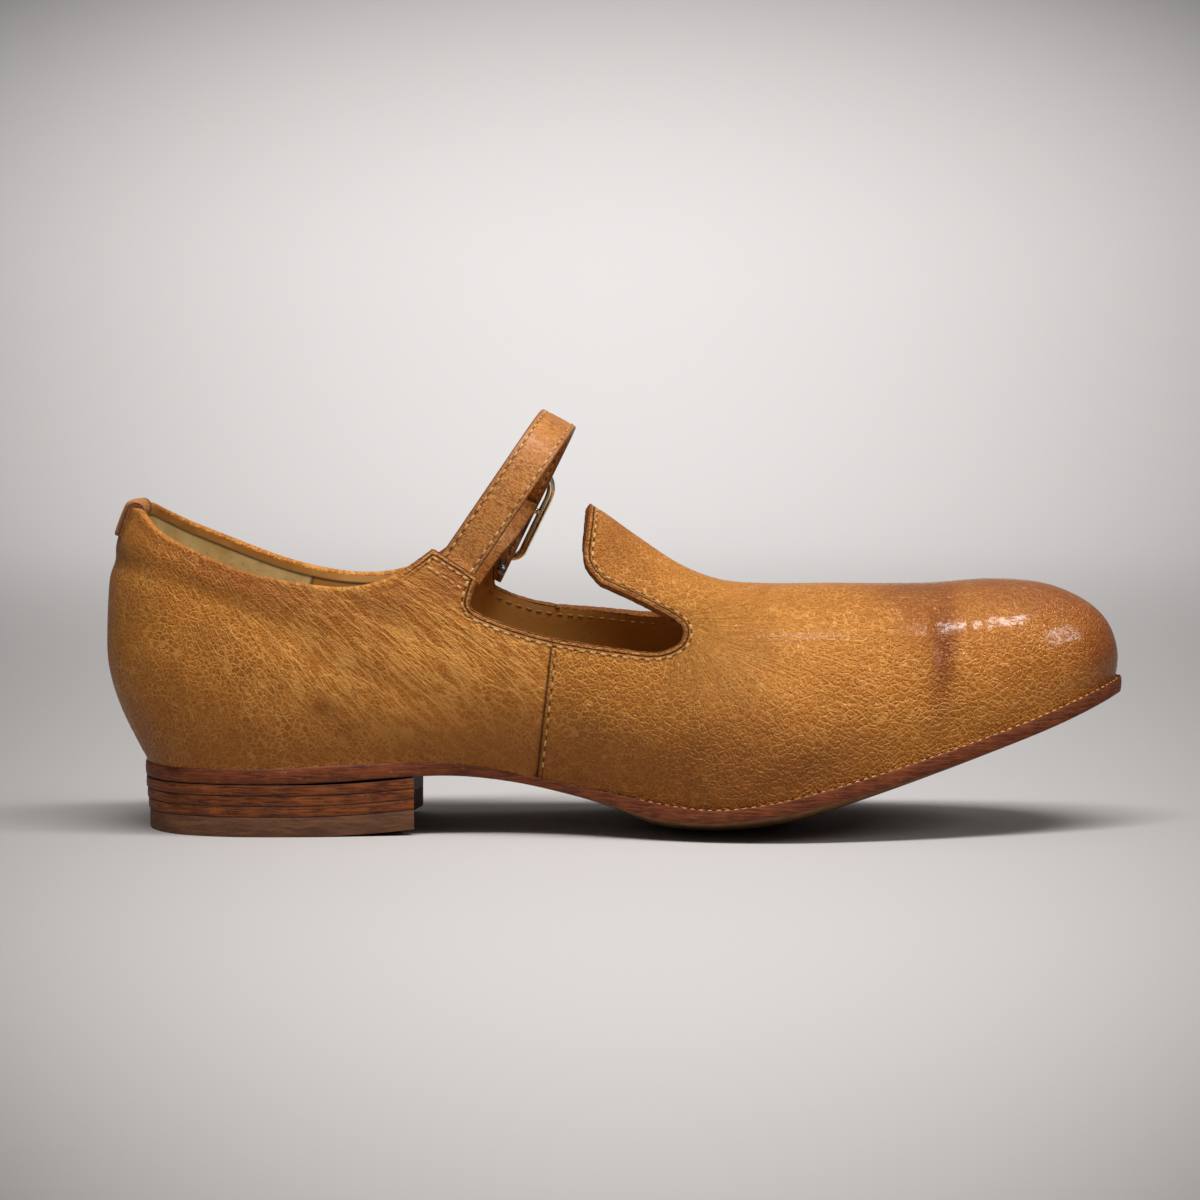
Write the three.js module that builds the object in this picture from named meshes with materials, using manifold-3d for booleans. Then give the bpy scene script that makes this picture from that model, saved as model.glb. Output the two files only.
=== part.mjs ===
// A left mary jane shoe on a low stacked heel, in millimetres: +X to the toe, +Y to the outer side, +Z up.
// X is measured from the back of the heel and Z from the floor until the last lines centre the shoe.
// Every form comes from one last: ribs rise from the featherline to the ridge over the foot.

import * as THREE from "three";
import { mergeVertices } from "three/addons/utils/BufferGeometryUtils.js";
import Module from "manifold-3d";

const wasm = await Module();
wasm.setup();

// Driving dimensions
const LENGTH = 262.3; // heel bulge to sole tip
const BALL_WIDTH = 86.3; // sole across the ball
const INSTEP_HEIGHT = 82.5; // tongue tip over the floor
const HEEL_HEIGHT = 13.5; // floor to the sole's seat
const WALL = 2.4; // upper and its lining together
const GAP = 0.3; // between neighbouring pieces

// Rib stations from the heel's back to the toe, for the sole's edge. Along: fractions of LENGTH. Across:
// fractions of BALL_WIDTH. ridge is where the rib meets the ridge, bulge is in mm, square is the rib's
// superellipse power: 2 is an ellipse, more is squarer.
const STATIONS = [
  { ridge: 0.122, inX: 0.037, inY: 0.0, outX: 0.037, outY: 0.0, inBulge: 10.2, outBulge: 10.2, square: 3.6 },
  { ridge: 0.122, inX: 0.047, inY: 0.144, outX: 0.047, outY: 0.144, inBulge: 9.4, outBulge: 9.4, square: 3.5 },
  { ridge: 0.124, inX: 0.077, inY: 0.262, outX: 0.077, outY: 0.264, inBulge: 7.4, outBulge: 7.4, square: 3.1 },
  { ridge: 0.142, inX: 0.132, inY: 0.326, outX: 0.132, outY: 0.331, inBulge: 5.2, outBulge: 5.2, square: 2.8 },
  { ridge: 0.206, inX: 0.206, inY: 0.33, outX: 0.206, outY: 0.345, inBulge: 4.6, outBulge: 4.0, square: 2.7 },
  { ridge: 0.282, inX: 0.282, inY: 0.302, outX: 0.282, outY: 0.35, inBulge: 5.6, outBulge: 3.6, square: 2.6 },
  { ridge: 0.358, inX: 0.358, inY: 0.272, outX: 0.358, outY: 0.36, inBulge: 7.0, outBulge: 3.0, square: 2.5 },
  { ridge: 0.435, inX: 0.435, inY: 0.29, outX: 0.435, outY: 0.389, inBulge: 6.5, outBulge: 3.0, square: 2.4 },
  { ridge: 0.511, inX: 0.511, inY: 0.377, outX: 0.511, outY: 0.438, inBulge: 4.0, outBulge: 3.0, square: 2.35 },
  { ridge: 0.583, inX: 0.591, inY: 0.464, outX: 0.58, outY: 0.487, inBulge: 2.4, outBulge: 2.5, square: 2.3 },
  { ridge: 0.652, inX: 0.667, inY: 0.493, outX: 0.65, outY: 0.507, inBulge: 1.6, outBulge: 2.0, square: 2.3 },
  { ridge: 0.717, inX: 0.744, inY: 0.469, outX: 0.722, outY: 0.5, inBulge: 1.3, outBulge: 1.5, square: 2.35 },
  { ridge: 0.779, inX: 0.812, inY: 0.422, outX: 0.795, outY: 0.468, inBulge: 1.2, outBulge: 1.3, square: 2.4 },
  { ridge: 0.825, inX: 0.88, inY: 0.352, outX: 0.866, outY: 0.41, inBulge: 1.1, outBulge: 1.1, square: 2.5 },
  { ridge: 0.851, inX: 0.938, inY: 0.268, outX: 0.93, outY: 0.318, inBulge: 1.0, outBulge: 1.0, square: 2.6 },
  { ridge: 0.861, inX: 0.981, inY: 0.158, outX: 0.978, outY: 0.176, inBulge: 1.0, outBulge: 1.0, square: 2.65 },
  { ridge: 0.8616, inX: 1.0, inY: 0.01, outX: 1.0, outY: -0.01, inBulge: 1.0, outBulge: 1.0, square: 2.7 },
];
const BULGE_PEAK = 0.33; // share of the rib's height where it stands out furthest
const BULGE_END = 0.86; // and where that has died away

// The ridge: its side shift as a share of BALL_WIDTH and its height over the floor. Behind the tongue it
// only shapes the ribs, because the collar is cut out below it.
const RIDGE = [
  { along: 0.12, shift: 0.0, height: 110.0 },
  { along: 0.229, shift: 0.0, height: 108.0 },
  { along: 0.344, shift: -0.012, height: 101.0 },
  { along: 0.42, shift: -0.03, height: 93.0 },
  { along: 0.4826, shift: -0.05, height: INSTEP_HEIGHT },
  { along: 0.525, shift: -0.065, height: INSTEP_HEIGHT - 7.7 },
  { along: 0.564, shift: -0.078, height: INSTEP_HEIGHT - 14.4 },
  { along: 0.604, shift: -0.088, height: INSTEP_HEIGHT - 18.3 },
  { along: 0.645, shift: -0.095, height: INSTEP_HEIGHT - 19.3 },
  { along: 0.72, shift: -0.095, height: INSTEP_HEIGHT - 19.3 },
  { along: 0.8, shift: -0.075, height: INSTEP_HEIGHT - 19.3 },
  { along: 0.8616, shift: -0.05, height: INSTEP_HEIGHT - 18.2 },
];

// The sole's edge from heel to toe: heights of its top and bottom, and how far the middle hangs below them.
const SOLE = [
  { along: 0.037, top: 4.0, bottom: 0.0, crown: 0.0 },
  { along: 0.13, top: 4.0, bottom: 0.0, crown: 0.0 },
  { along: 0.185, top: 4.3, bottom: 0.1, crown: 0.0 },
  { along: 0.229, top: 4.9, bottom: 0.5, crown: 0.0 },
  { along: 0.3, top: 5.5, bottom: 1.6, crown: 0.0 },
  { along: 0.35, top: 4.7, bottom: 1.6, crown: 0.0 },
  { along: 0.4, top: 3.0, bottom: 0.2, crown: 0.5 },
  { along: 0.45, top: 0.3, bottom: -2.3, crown: 1.6 },
  { along: 0.5, top: -1.9, bottom: -5.2, crown: 3.2 },
  { along: 0.54, top: -3.8, bottom: -7.9, crown: 5.2 },
  { along: 0.59, top: -5.1, bottom: -8.6, crown: 5.7 },
  { along: 0.635, top: -3.9, bottom: -7.4, crown: 6.5 },
  { along: 0.68, top: -1.4, bottom: -5.2, crown: 6.3 },
  { along: 0.77, top: 5.3, bottom: 1.2, crown: 4.5 },
  { along: 0.868, top: 13.4, bottom: 9.4, crown: 3.0 },
  { along: 0.93, top: 19.1, bottom: 15.0, crown: 2.0 },
  { along: 1.0, top: 26.1, bottom: 22.3, crown: 1.0 },
].map((row) => ({ ...row, top: HEEL_HEIGHT + row.top, bottom: HEEL_HEIGHT + row.bottom }));

// How far the sole's edge stands out past the upper
const SOLE_MARGIN = { heel: 0.3, forefoot: 1.6, from: 115, to: 150 };

const INSOLE_THICKNESS = 2.5;
const HEEL = { breast: 80.2, hollow: 3, taper: 1.3, rise: 1.6, riseFrom: 50 };
const HEEL_LAYERS = [
  { name: "top_piece", from: 0, to: 5.0, colour: 0x6b4a38, roughness: 0.75 },
  { name: "heel_lift_1", from: 5.3, to: 7.75, colour: 0x7a4526, roughness: 0.6 },
  { name: "heel_lift_2", from: 8.05, to: 10.45, colour: 0x6e3d22, roughness: 0.6 },
  { name: "heel_lift_3", from: 10.75, to: 13.2, colour: 0x6a3820, roughness: 0.55 },
];

// Side views of the cut-out: collar from the back to the ear, ear, throat, and the tongue's edge.
const INNER_CUT = {
  collar: [
    [-6, 96], [2, 89.5], [9, 83.4], [14.6, 78.3], [23.2, 73.9],
    [39.7, 67.4], [61, 63.9], [74, 65.9], [81, 69.6],
  ],
  earTop: [[85.2, 72.9], [96.3, 65.8]],
  throat: [
    [94.9, 62.2], [94.4, 58.6], [97.6, 56.3], [104.8, 53.5], [115, 50.7],
    [132, 48.1], [141.5, 47.3], [147, 49.2], [148.7, 52.2],
  ],
  tongue: [[147, 55.3], [137.2, 60.6], [127.4, 64.9]],
};
const OUTER_CUT = {
  collar: [
    [-6, 96], [2, 89.5], [9, 84], [14.5, 80.4], [22.7, 76.4],
    [44.6, 67.8], [62, 64.3], [77, 65.3], [84, 68.5],
  ],
  earTop: [[89.6, 72.6], [99.2, 67.4]],
  throat: [[98.9, 62.5], [100.4, 59.6], [111.5, 55.7], [127.4, 54.2], [141, 53.2], [147.4, 54], [149.2, 56]],
  tongue: [[146.8, 58.2], [137.6, 62.4], [127.4, 66.2]],
};
const TONGUE_CORNER = [123.3, 69.5];
const TONGUE_TIP = [125.9, INSTEP_HEIGHT + 6];
const CUT_TOP = 130;

// The strap arches in a frame that leans forward by each side's own angle, over a superelliptic span.
const STRAP = { width: 10, thick: 1.8, rise: 40.5, power: 3, tuck: 9, freeEnd: 6 };
const INNER_LEG = { x: 92.2, z: 70, lean: 34.4 };
const OUTER_LEG = { x: 99.2, z: 68.8, lean: 26 };
const BUCKLE = { length: 27.4, width: 15.4, wire: 1.1, bar: 0.8, barAt: 15.5, corner: 3, topRound: 7 };
const BUCKLE_OUT = { bottom: 5.8, top: 2.9 }; // outward of the leg's own line, at its lower and upper end
const PRONG = { radius: 0.6, from: 17.7, to: 28 };
const TAB = { width: 10, thick: 1.2 };
// The tab's middle line: height r over the ear, n outward of the leg's line, and its shift back.
const TAB_PATH = [
  { r: -8, n: -3, back: 4.5 },
  { r: -2, n: -3.1, back: 3.6 },
  { r: 3, n: -2.3, back: 2.6 },
  { r: 8, n: 0, back: 1.2 },
  { r: 11.9, n: 2.2, back: 0.2 },
];
const STUD = { x: 101.3, z: 64.6, ball: 1.3, neck: 0.7, neckTop: 67.2 };
const HEEL_TAB = { thick: 1.2, gap: 0.7, lowOutside: 75.3, lowInside: 77.5, span: 0.66 };

// ---- interpolation ----

// A smooth value between table rows, by the column that holds the position.
function along(table, x, column) {
  const at = THREE.MathUtils.clamp(x / LENGTH, table[0].along, table[table.length - 1].along);
  let i = 0;
  while (i < table.length - 2 && at > table[i + 1].along) i += 1;
  const a = table[i];
  const b = table[i + 1];
  const span = b.along - a.along;
  const before = table[Math.max(i - 1, 0)];
  const after = table[Math.min(i + 2, table.length - 1)];
  const slopeA = (b[column] - before[column]) / (b.along - before.along);
  const slopeB = (after[column] - a[column]) / (after.along - a.along);
  const t = (at - a.along) / span;
  const [t2, t3] = [t * t, t * t * t];
  return (
    (2 * t3 - 3 * t2 + 1) * a[column] +
    (t3 - 2 * t2 + t) * span * slopeA +
    (3 * t2 - 2 * t3) * b[column] +
    (t3 - t2) * span * slopeB
  );
}

// The stations as one loop of ribs: up the inner side to the toe and back along the outer side.
const RIBS = [
  ...STATIONS.map((s) => ({
    ridge: s.ridge * LENGTH, x: s.inX * LENGTH, y: -s.inY * BALL_WIDTH, bulge: s.inBulge, square: s.square,
  })),
  ...STATIONS.slice(1, -1).reverse().map((s) => ({
    ridge: s.ridge * LENGTH, x: s.outX * LENGTH, y: s.outY * BALL_WIDTH, bulge: s.outBulge, square: s.square,
  })),
];
const TOE = STATIONS.length - 1; // rib number of the toe's tip
const LOOP = RIBS.length;

function ribAt(p) {
  const i = Math.floor(p);
  const t = p - i;
  const row = (k) => RIBS[(((i + k) % LOOP) + LOOP) % LOOP];
  const mix = (column) => {
    const [a, b, c, d] = [row(-1)[column], row(0)[column], row(1)[column], row(2)[column]];
    return b + 0.5 * t * (c - a + t * (2 * a - 5 * b + 4 * c - d + t * (3 * (b - c) + d - a)));
  };
  return { ridge: mix("ridge"), x: mix("x"), y: mix("y"), bulge: mix("bulge"), square: mix("square") };
}

const smooth = (x, from, to) => THREE.MathUtils.smoothstep(x, from, to);

function soleMargin(x) {
  const gain = SOLE_MARGIN.forefoot - SOLE_MARGIN.heel;
  return SOLE_MARGIN.heel + gain * smooth(x, SOLE_MARGIN.from, SOLE_MARGIN.to);
}

// The point where rib p stands on the sole, drawn in from the sole's edge by inset.
function footPoint(p, inset) {
  const rib = ribAt(p);
  const ridge = ridgePoint(rib.ridge);
  const reach = Math.hypot(rib.x - ridge.x, rib.y - ridge.y);
  const k = inset / reach;
  return new THREE.Vector2(rib.x + (ridge.x - rib.x) * k, rib.y + (ridge.y - rib.y) * k);
}

function ridgePoint(x) {
  return new THREE.Vector3(x, along(RIDGE, x, "shift") * BALL_WIDTH, along(RIDGE, x, "height"));
}

// How far across the sole a plan point is: 0 on the middle, 1 at the edge.
function crossShare(x, y) {
  const [inner, outer] = soleEdges(x);
  const middle = (inner + outer) / 2;
  return Math.min(Math.abs(y - middle) / Math.max((outer - inner) / 2, 1), 1);
}

// The sole's edges across a line of constant x.
function soleEdges(x) {
  const find = (low, high) => {
    let [a, b] = [low, high];
    for (let k = 0; k < 40; k += 1) {
      const m = (a + b) / 2;
      if (ribAt(m).x < x) a = m;
      else b = m;
    }
    return ribAt((a + b) / 2).y;
  };
  return [find(0, TOE), find(LOOP, TOE)];
}

function soleTop(x, y) {
  const q = crossShare(x, y);
  return along(SOLE, x, "top") - along(SOLE, x, "crown") * (1 - q * q);
}

function soleBottom(x, y) {
  const q = crossShare(x, y);
  return Math.max(along(SOLE, x, "bottom") - along(SOLE, x, "crown") * (1 - q * q), 0);
}

// ---- the last's outside ----

function bulgeShare(w) {
  if (w < BULGE_PEAK) return Math.sin((Math.PI / 2) * Math.max(w, 0) / BULGE_PEAK);
  const fall = Math.min((w - BULGE_PEAK) / (BULGE_END - BULGE_PEAK), 1);
  return Math.cos((Math.PI / 2) * fall ** 1.5);
}

// A point of the upper's outside: p runs round the loop of ribs, s from the featherline, 0, to the ridge, 1.
function outside(p, s) {
  const rib = ribAt(p);
  const foot = footPoint(p, soleMargin(rib.x));
  const ridge = ridgePoint(rib.ridge);
  const angle = (s * Math.PI) / 2;
  const [c, w0] = [Math.cos(angle), Math.sin(angle)];
  const r = (c ** rib.square + w0 ** rib.square) ** (-1 / rib.square);
  const [h, w] = [s < 1 ? r * c : 0, s < 1 ? r * w0 : 1];
  const plan = new THREE.Vector2(foot.x - ridge.x, foot.y - ridge.y);
  const reach = plan.length();
  const out = h + (rib.bulge * bulgeShare(w)) / reach;
  const z0 = soleTop(foot.x, foot.y) + GAP;
  return new THREE.Vector3(ridge.x + plan.x * out, ridge.y + plan.y * out, z0 + (ridge.z - z0) * w);
}

// The same point moved in by depth along the wall's normal.
function wallPoint(p, s, depth) {
  const step = 0.01;
  if (s > 1 - step) return outside(p, 1).sub(new THREE.Vector3(0, 0, depth));
  const lower = Math.max(s - step, 0);
  const round = outside(p + step, s).sub(outside(p - step, s));
  const up = outside(p, s + step).sub(outside(p, lower));
  const normal = round.cross(up).normalize();
  return outside(p, s).addScaledVector(normal, -depth);
}

const SQUARE_RIBS = [3.2, 8.9]; // between these the ribs stand square across

// The outside's y where the ribs stand square across, at x and height z, on the side sign.
function outsideY(sign, x, z) {
  const [from, to] = sign < 0 ? SQUARE_RIBS : SQUARE_RIBS.map((rib) => LOOP - rib);
  let [a, b] = [from, to];
  for (let k = 0; k < 40; k += 1) {
    const m = (a + b) / 2;
    if (ribAt(m).x < x) a = m;
    else b = m;
  }
  let [low, high] = [0, 1];
  for (let k = 0; k < 40; k += 1) {
    const m = (low + high) / 2;
    if (outside(a, m).z < z) low = m;
    else high = m;
  }
  return outside(a, low).y;
}

// ---- mesh building ----

// One closed body from triangles given as triples of points.
function bodyOf(triangles) {
  const kept = triangles.filter(([a, b, c]) => {
    const near = (p, q) => p.distanceTo(q) < 2e-3;
    return !near(a, b) && !near(b, c) && !near(a, c);
  });
  const positions = kept.flat().flatMap((v) => [v.x, v.y, v.z]);
  const loose = new THREE.BufferGeometry();
  loose.setAttribute("position", new THREE.Float32BufferAttribute(positions, 3));
  return mergeVertices(loose, 1e-3);
}

function solidOf(geometry) {
  const plain = geometry.clone();
  plain.deleteAttribute("normal");
  plain.deleteAttribute("uv");
  const merged = mergeVertices(plain, 1e-3);
  return new wasm.Manifold(
    new wasm.Mesh({
      numProp: 3,
      vertProperties: new Float32Array(merged.attributes.position.array),
      triVerts: new Uint32Array(merged.index.array),
    }),
  );
}

function geometryOf(solid) {
  const mesh = solid.getMesh();
  const geometry = new THREE.BufferGeometry();
  geometry.setAttribute("position", new THREE.BufferAttribute(mesh.vertProperties, 3));
  geometry.setIndex(new THREE.BufferAttribute(mesh.triVerts, 1));
  return geometry;
}

function quad(list, a, b, c, d) {
  list.push([a, b, c], [a, c, d]);
}

// A closed plate between an upper and a lower grid of points, both rows[i][k], i along and k across to +Y.
function plate(top, bottom) {
  const list = [];
  const last = top.length - 1;
  const width = top[0].length - 1;
  for (let i = 0; i < last; i += 1) {
    for (let k = 0; k < width; k += 1) {
      quad(list, top[i][k], top[i + 1][k], top[i + 1][k + 1], top[i][k + 1]);
      quad(list, bottom[i][k], bottom[i][k + 1], bottom[i + 1][k + 1], bottom[i + 1][k]);
    }
    quad(list, bottom[i][0], bottom[i + 1][0], top[i + 1][0], top[i][0]);
    quad(list, bottom[i + 1][width], bottom[i][width], top[i][width], top[i + 1][width]);
  }
  for (let k = 0; k < width; k += 1) {
    quad(list, bottom[0][k + 1], bottom[0][k], top[0][k], top[0][k + 1]);
    quad(list, bottom[last][k], bottom[last][k + 1], top[last][k + 1], top[last][k]);
  }
  return bodyOf(list);
}

// A closed body swept through sections that are equal loops of points, with flat ends.
function sweep(sections) {
  const list = [];
  const count = sections[0].length;
  for (let i = 0; i + 1 < sections.length; i += 1)
    for (let k = 0; k < count; k += 1) {
      const n = (k + 1) % count;
      quad(list, sections[i][k], sections[i][n], sections[i + 1][n], sections[i + 1][k]);
    }
  for (const [a, b, c] of ribbonCap(sections[0])) list.push([a, c, b]);
  for (const [a, b, c] of ribbonCap(sections[sections.length - 1])) list.push([a, b, c]);
  return bodyOf(list);
}

// Triangles across a loop, zigzagging between its two halves.
function ribbonCap(loop) {
  const out = [];
  let [i, j] = [0, loop.length - 1];
  let low = true;
  while (j - i > 1) {
    if (low) {
      out.push([loop[i], loop[i + 1], loop[j]]);
      i += 1;
    } else {
      out.push([loop[i], loop[j - 1], loop[j]]);
      j -= 1;
    }
    low = !low;
  }
  return out;
}

// ---- upper ----

const ROUND_STEPS = 80;
const RIB_STEPS = 12;

function lastShell() {
  const grid = (depth) =>
    Array.from({ length: ROUND_STEPS }, (_, j) => {
      const p = (j * LOOP) / ROUND_STEPS;
      return Array.from({ length: RIB_STEPS + 1 }, (_, k) => {
        const point = depth ? wallPoint(p, k / RIB_STEPS, depth) : outside(p, k / RIB_STEPS);
        if (k === 0) point.z = soleTop(point.x, point.y) + GAP;
        return point;
      });
    });
  const [skin, lining] = [grid(0), grid(WALL)];
  const list = [];
  for (let j = 0; j < ROUND_STEPS; j += 1) {
    const n = (j + 1) % ROUND_STEPS;
    for (let k = 0; k < RIB_STEPS; k += 1) {
      quad(list, skin[j][k], skin[n][k], skin[n][k + 1], skin[j][k + 1]);
      quad(list, lining[j][k + 1], lining[n][k + 1], lining[n][k], lining[j][k]);
    }
    quad(list, lining[j][0], lining[n][0], skin[n][0], skin[j][0]);
  }
  return solidOf(bodyOf(list));
}

function cutSolid(cut, sign) {
  const shape = new THREE.Shape();
  const points = (rows) => rows.map(([x, z]) => new THREE.Vector2(x, z));
  shape.moveTo(...cut.collar[0]);
  shape.splineThru(points(cut.collar.slice(1)));
  shape.lineTo(...cut.earTop[0]);
  shape.lineTo(...cut.earTop[1]);
  shape.splineThru(points([...cut.throat, ...cut.tongue]));
  shape.lineTo(...TONGUE_CORNER);
  shape.lineTo(...TONGUE_TIP);
  shape.lineTo(TONGUE_TIP[0], CUT_TOP);
  shape.lineTo(cut.collar[0][0], CUT_TOP);
  const depth = BALL_WIDTH;
  const geometry = new THREE.ExtrudeGeometry(shape, { depth, bevelEnabled: false, curveSegments: 4 });
  // the drawing's (x, y) becomes (x, z): the extrusion then runs towards -Y
  geometry.rotateX(Math.PI / 2);
  if (sign > 0) geometry.translate(0, depth, 0);
  return solidOf(geometry);
}

function upperGeometry() {
  return geometryOf(lastShell().subtract(cutSolid(INNER_CUT, -1)).subtract(cutSolid(OUTER_CUT, 1)));
}

// ---- sole, insole and heel ----

// Plan rows across the sole, from the heel's back to rib number end, drawn in by inset.
function planRows(steps, across, inset, end = TOE) {
  return Array.from({ length: steps + 1 }, (_, i) => {
    const p = (i * end) / steps;
    const inner = footPoint(p, inset(ribAt(p).x));
    const outer = footPoint(LOOP - p, inset(ribAt(LOOP - p).x));
    return Array.from({ length: across + 1 }, (_, k) => inner.clone().lerp(outer, k / across));
  });
}

const lift = (rows, height) =>
  rows.map((row) => row.map((v) => new THREE.Vector3(v.x, v.y, height(v.x, v.y))));

function outsoleGeometry() {
  const rows = planRows(44, 10, () => 0);
  return plate(lift(rows, soleTop), lift(rows, soleBottom));
}

function insoleGeometry() {
  const rows = planRows(30, 4, (x) => soleMargin(x) + WALL + 3 * GAP);
  const base = (x, y) => soleTop(x, y) + GAP;
  return plate(lift(rows, (x, y) => base(x, y) + INSOLE_THICKNESS), lift(rows, base));
}

// Both ends of the heel's block lift a little towards the breast, with the sole's seat.
const heelRise = (x) => HEEL.rise * Math.max((x - HEEL.riseFrom) / (HEEL.breast - HEEL.riseFrom), 0) ** 2;

function heelEnd() {
  let p = 0;
  while (ribAt(p).x < HEEL.breast) p += 0.01;
  return p;
}

function heelLayerGeometry(layer) {
  const end = heelEnd();
  const rows = (z) => {
    const inset = HEEL.taper * (1 - z / HEEL_HEIGHT);
    const flat = planRows(14, 6, () => inset, end);
    return flat.map((row) =>
      row.map((v, k) => {
        const q = (2 * k) / (row.length - 1) - 1;
        const hollow = HEEL.hollow * (1 - q * q) * smooth(v.x, HEEL.riseFrom, HEEL.breast);
        return new THREE.Vector3(v.x - hollow, v.y, z + heelRise(v.x - hollow));
      }),
    );
  };
  return plate(rows(layer.to), rows(layer.from));
}

// ---- strap, buckle and tabs ----

const degrees = THREE.MathUtils.degToRad;
const leanOf = (leg) => new THREE.Vector3(Math.sin(degrees(leg.lean)), 0, Math.cos(degrees(leg.lean)));
const widthOf = (lean) => new THREE.Vector3(lean.z, 0, -lean.x);

const LEG_ROOM = 0.7; // more than the gap, as the ear's wall curves and the leg is straight
const EAR_BACK = 3.4; // the outer leg lines up with the ear's wall this far back
const EAR_ROOM = 0.4; // more than the gap, between the strap's free end and the ear's wall

// Y of the strap's two legs: just inside the inner ear, and in line with the outer ear's wall.
const STRAP_IN = WALL + GAP + LEG_ROOM + STRAP.thick / 2;
const INNER_Y = outsideY(-1, INNER_LEG.x, INNER_LEG.z) + STRAP_IN;
const OUTER_Y = outsideY(1, OUTER_LEG.x - EAR_BACK, OUTER_LEG.z) - WALL / 2;
const SPAN_MIDDLE = (INNER_Y + OUTER_Y) / 2;
const SPAN_HALF = (OUTER_Y - INNER_Y) / 2;

// A point on the leaning arch: y across, r up along the lean, and its width direction.
function archPoint(y, r) {
  const t = smooth(y, SPAN_MIDDLE - 0.7 * SPAN_HALF, SPAN_MIDDLE + 0.7 * SPAN_HALF);
  const lean = leanOf(INNER_LEG).lerp(leanOf(OUTER_LEG), t).normalize();
  const base = new THREE.Vector3(INNER_LEG.x, 0, INNER_LEG.z).lerp(
    new THREE.Vector3(OUTER_LEG.x, 0, OUTER_LEG.z), t);
  const point = base.addScaledVector(lean, r);
  point.y = y;
  return { point, across: widthOf(lean) };
}

// Y of the outer leg's own line at height r: the arch above the ear, straight below it.
function legY(r) {
  const w = Math.max(r, 0) / STRAP.rise;
  return SPAN_MIDDLE + SPAN_HALF * (1 - w ** STRAP.power) ** (1 / STRAP.power);
}

// Y of the buckle's flat frame, which stands outside the leg's line.
function frameY(r) {
  const [low, high] = [legY(0) + BUCKLE_OUT.bottom, legY(BUCKLE.length) + BUCKLE_OUT.top];
  return THREE.MathUtils.mapLinear(r, 0, BUCKLE.length, low, high);
}

const OVER_BAR = frameY(BUCKLE.barAt) - legY(BUCKLE.barAt) + BUCKLE.bar + GAP + STRAP.thick / 2;
const OVER_EAR = WALL / 2 + GAP + EAR_ROOM + STRAP.thick / 2;

// The strap below the arch: it comes out over the buckle's bar and goes back under the frame's lower end.
const FREE_LEG = [
  { r: 26, n: 0 },
  { r: 22.3, n: 0.4 },
  { r: 19, n: 2.7 },
  { r: BUCKLE.barAt, n: OVER_BAR },
  { r: 9, n: OVER_BAR - 0.3 },
  { r: 4.5, n: 3.5 },
  { r: 0, n: OVER_EAR + 0.2 },
  { r: -3, n: OVER_EAR + 0.8 },
  { r: -STRAP.freeEnd, n: OVER_EAR + 1.8 },
];

function strapPath() {
  const path = [];
  for (const r of [-STRAP.tuck, -STRAP.tuck / 2, 0]) {
    const base = archPoint(INNER_Y, r).point;
    path.push({ y: outsideY(-1, base.x, base.z) + STRAP_IN, r });
  }
  const turns = 22;
  for (let i = 1; i < turns; i += 1) {
    const angle = Math.PI * (1 - i / turns);
    const [c, s] = [Math.cos(angle), Math.sin(angle)];
    const k = (Math.abs(c) ** STRAP.power + s ** STRAP.power) ** (-1 / STRAP.power);
    const r = STRAP.rise * k * s;
    if (c > 0 && r < FREE_LEG[0].r + 3) continue;
    path.push({ y: SPAN_MIDDLE + SPAN_HALF * k * c, r });
  }
  for (const row of FREE_LEG) path.push({ y: legY(row.r) + row.n, r: row.r });
  return path;
}

// A flat band through points with their width directions.
function band(stops, width, thick) {
  const sections = stops.map((stop, i) => {
    const before = stops[Math.max(i - 1, 0)].point;
    const after = stops[Math.min(i + 1, stops.length - 1)].point;
    const forward = after.clone().sub(before).normalize();
    const across = stop.across.clone().addScaledVector(forward, -stop.across.dot(forward)).normalize();
    const out = across.clone().cross(forward).normalize();
    const corner = (a, b) =>
      stop.point.clone().addScaledVector(across, (a * width) / 2).addScaledVector(out, (b * thick) / 2);
    return [corner(-1, -1), corner(-1, 1), corner(1, 1), corner(1, -1)];
  });
  return sweep(sections);
}

function strapGeometry() {
  return band(strapPath().map(({ y, r }) => archPoint(y, r)), STRAP.width, STRAP.thick);
}

function tabGeometry() {
  const stops = TAB_PATH.map(({ r, n, back }) => {
    const stop = archPoint(legY(r) + n, r);
    stop.point.addScaledVector(stop.across, -back);
    return stop;
  });
  return band(stops, TAB.width, TAB.thick);
}

// The buckle's own axes: up the outer leg, across it, and out.
const BUCKLE_AXES = (() => {
  const { point: origin, across: level } = archPoint(frameY(0), 0);
  const up = archPoint(frameY(BUCKLE.length), BUCKLE.length).point.sub(origin).normalize();
  const across = level.addScaledVector(up, -level.dot(up)).normalize();
  return { origin, up, across, out: up.clone().cross(across).normalize() };
})();

function bucklePoint(r, w, n = 0) {
  const { origin, up, across, out } = BUCKLE_AXES;
  return origin.clone().addScaledVector(up, r).addScaledVector(across, w).addScaledVector(out, n);
}

// Round sections of a wire whose middle line is a list of points; a closed wire has no ends.
function wireSections(points, radius, sides, closed = false) {
  const count = points.length;
  return points.map((centre, i) => {
    const before = points[closed ? (i + count - 1) % count : Math.max(i - 1, 0)];
    const after = points[closed ? (i + 1) % count : Math.min(i + 1, count - 1)];
    const forward = after.clone().sub(before).normalize();
    const side = forward.clone().cross(BUCKLE_AXES.out).normalize();
    const top = side.clone().cross(forward).normalize();
    return Array.from({ length: sides }, (_, k) => {
      const a = (2 * Math.PI * k) / sides;
      const [round, rise] = [radius * Math.cos(a), -radius * Math.sin(a)];
      return centre.clone().addScaledVector(side, round).addScaledVector(top, rise);
    });
  });
}

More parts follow.
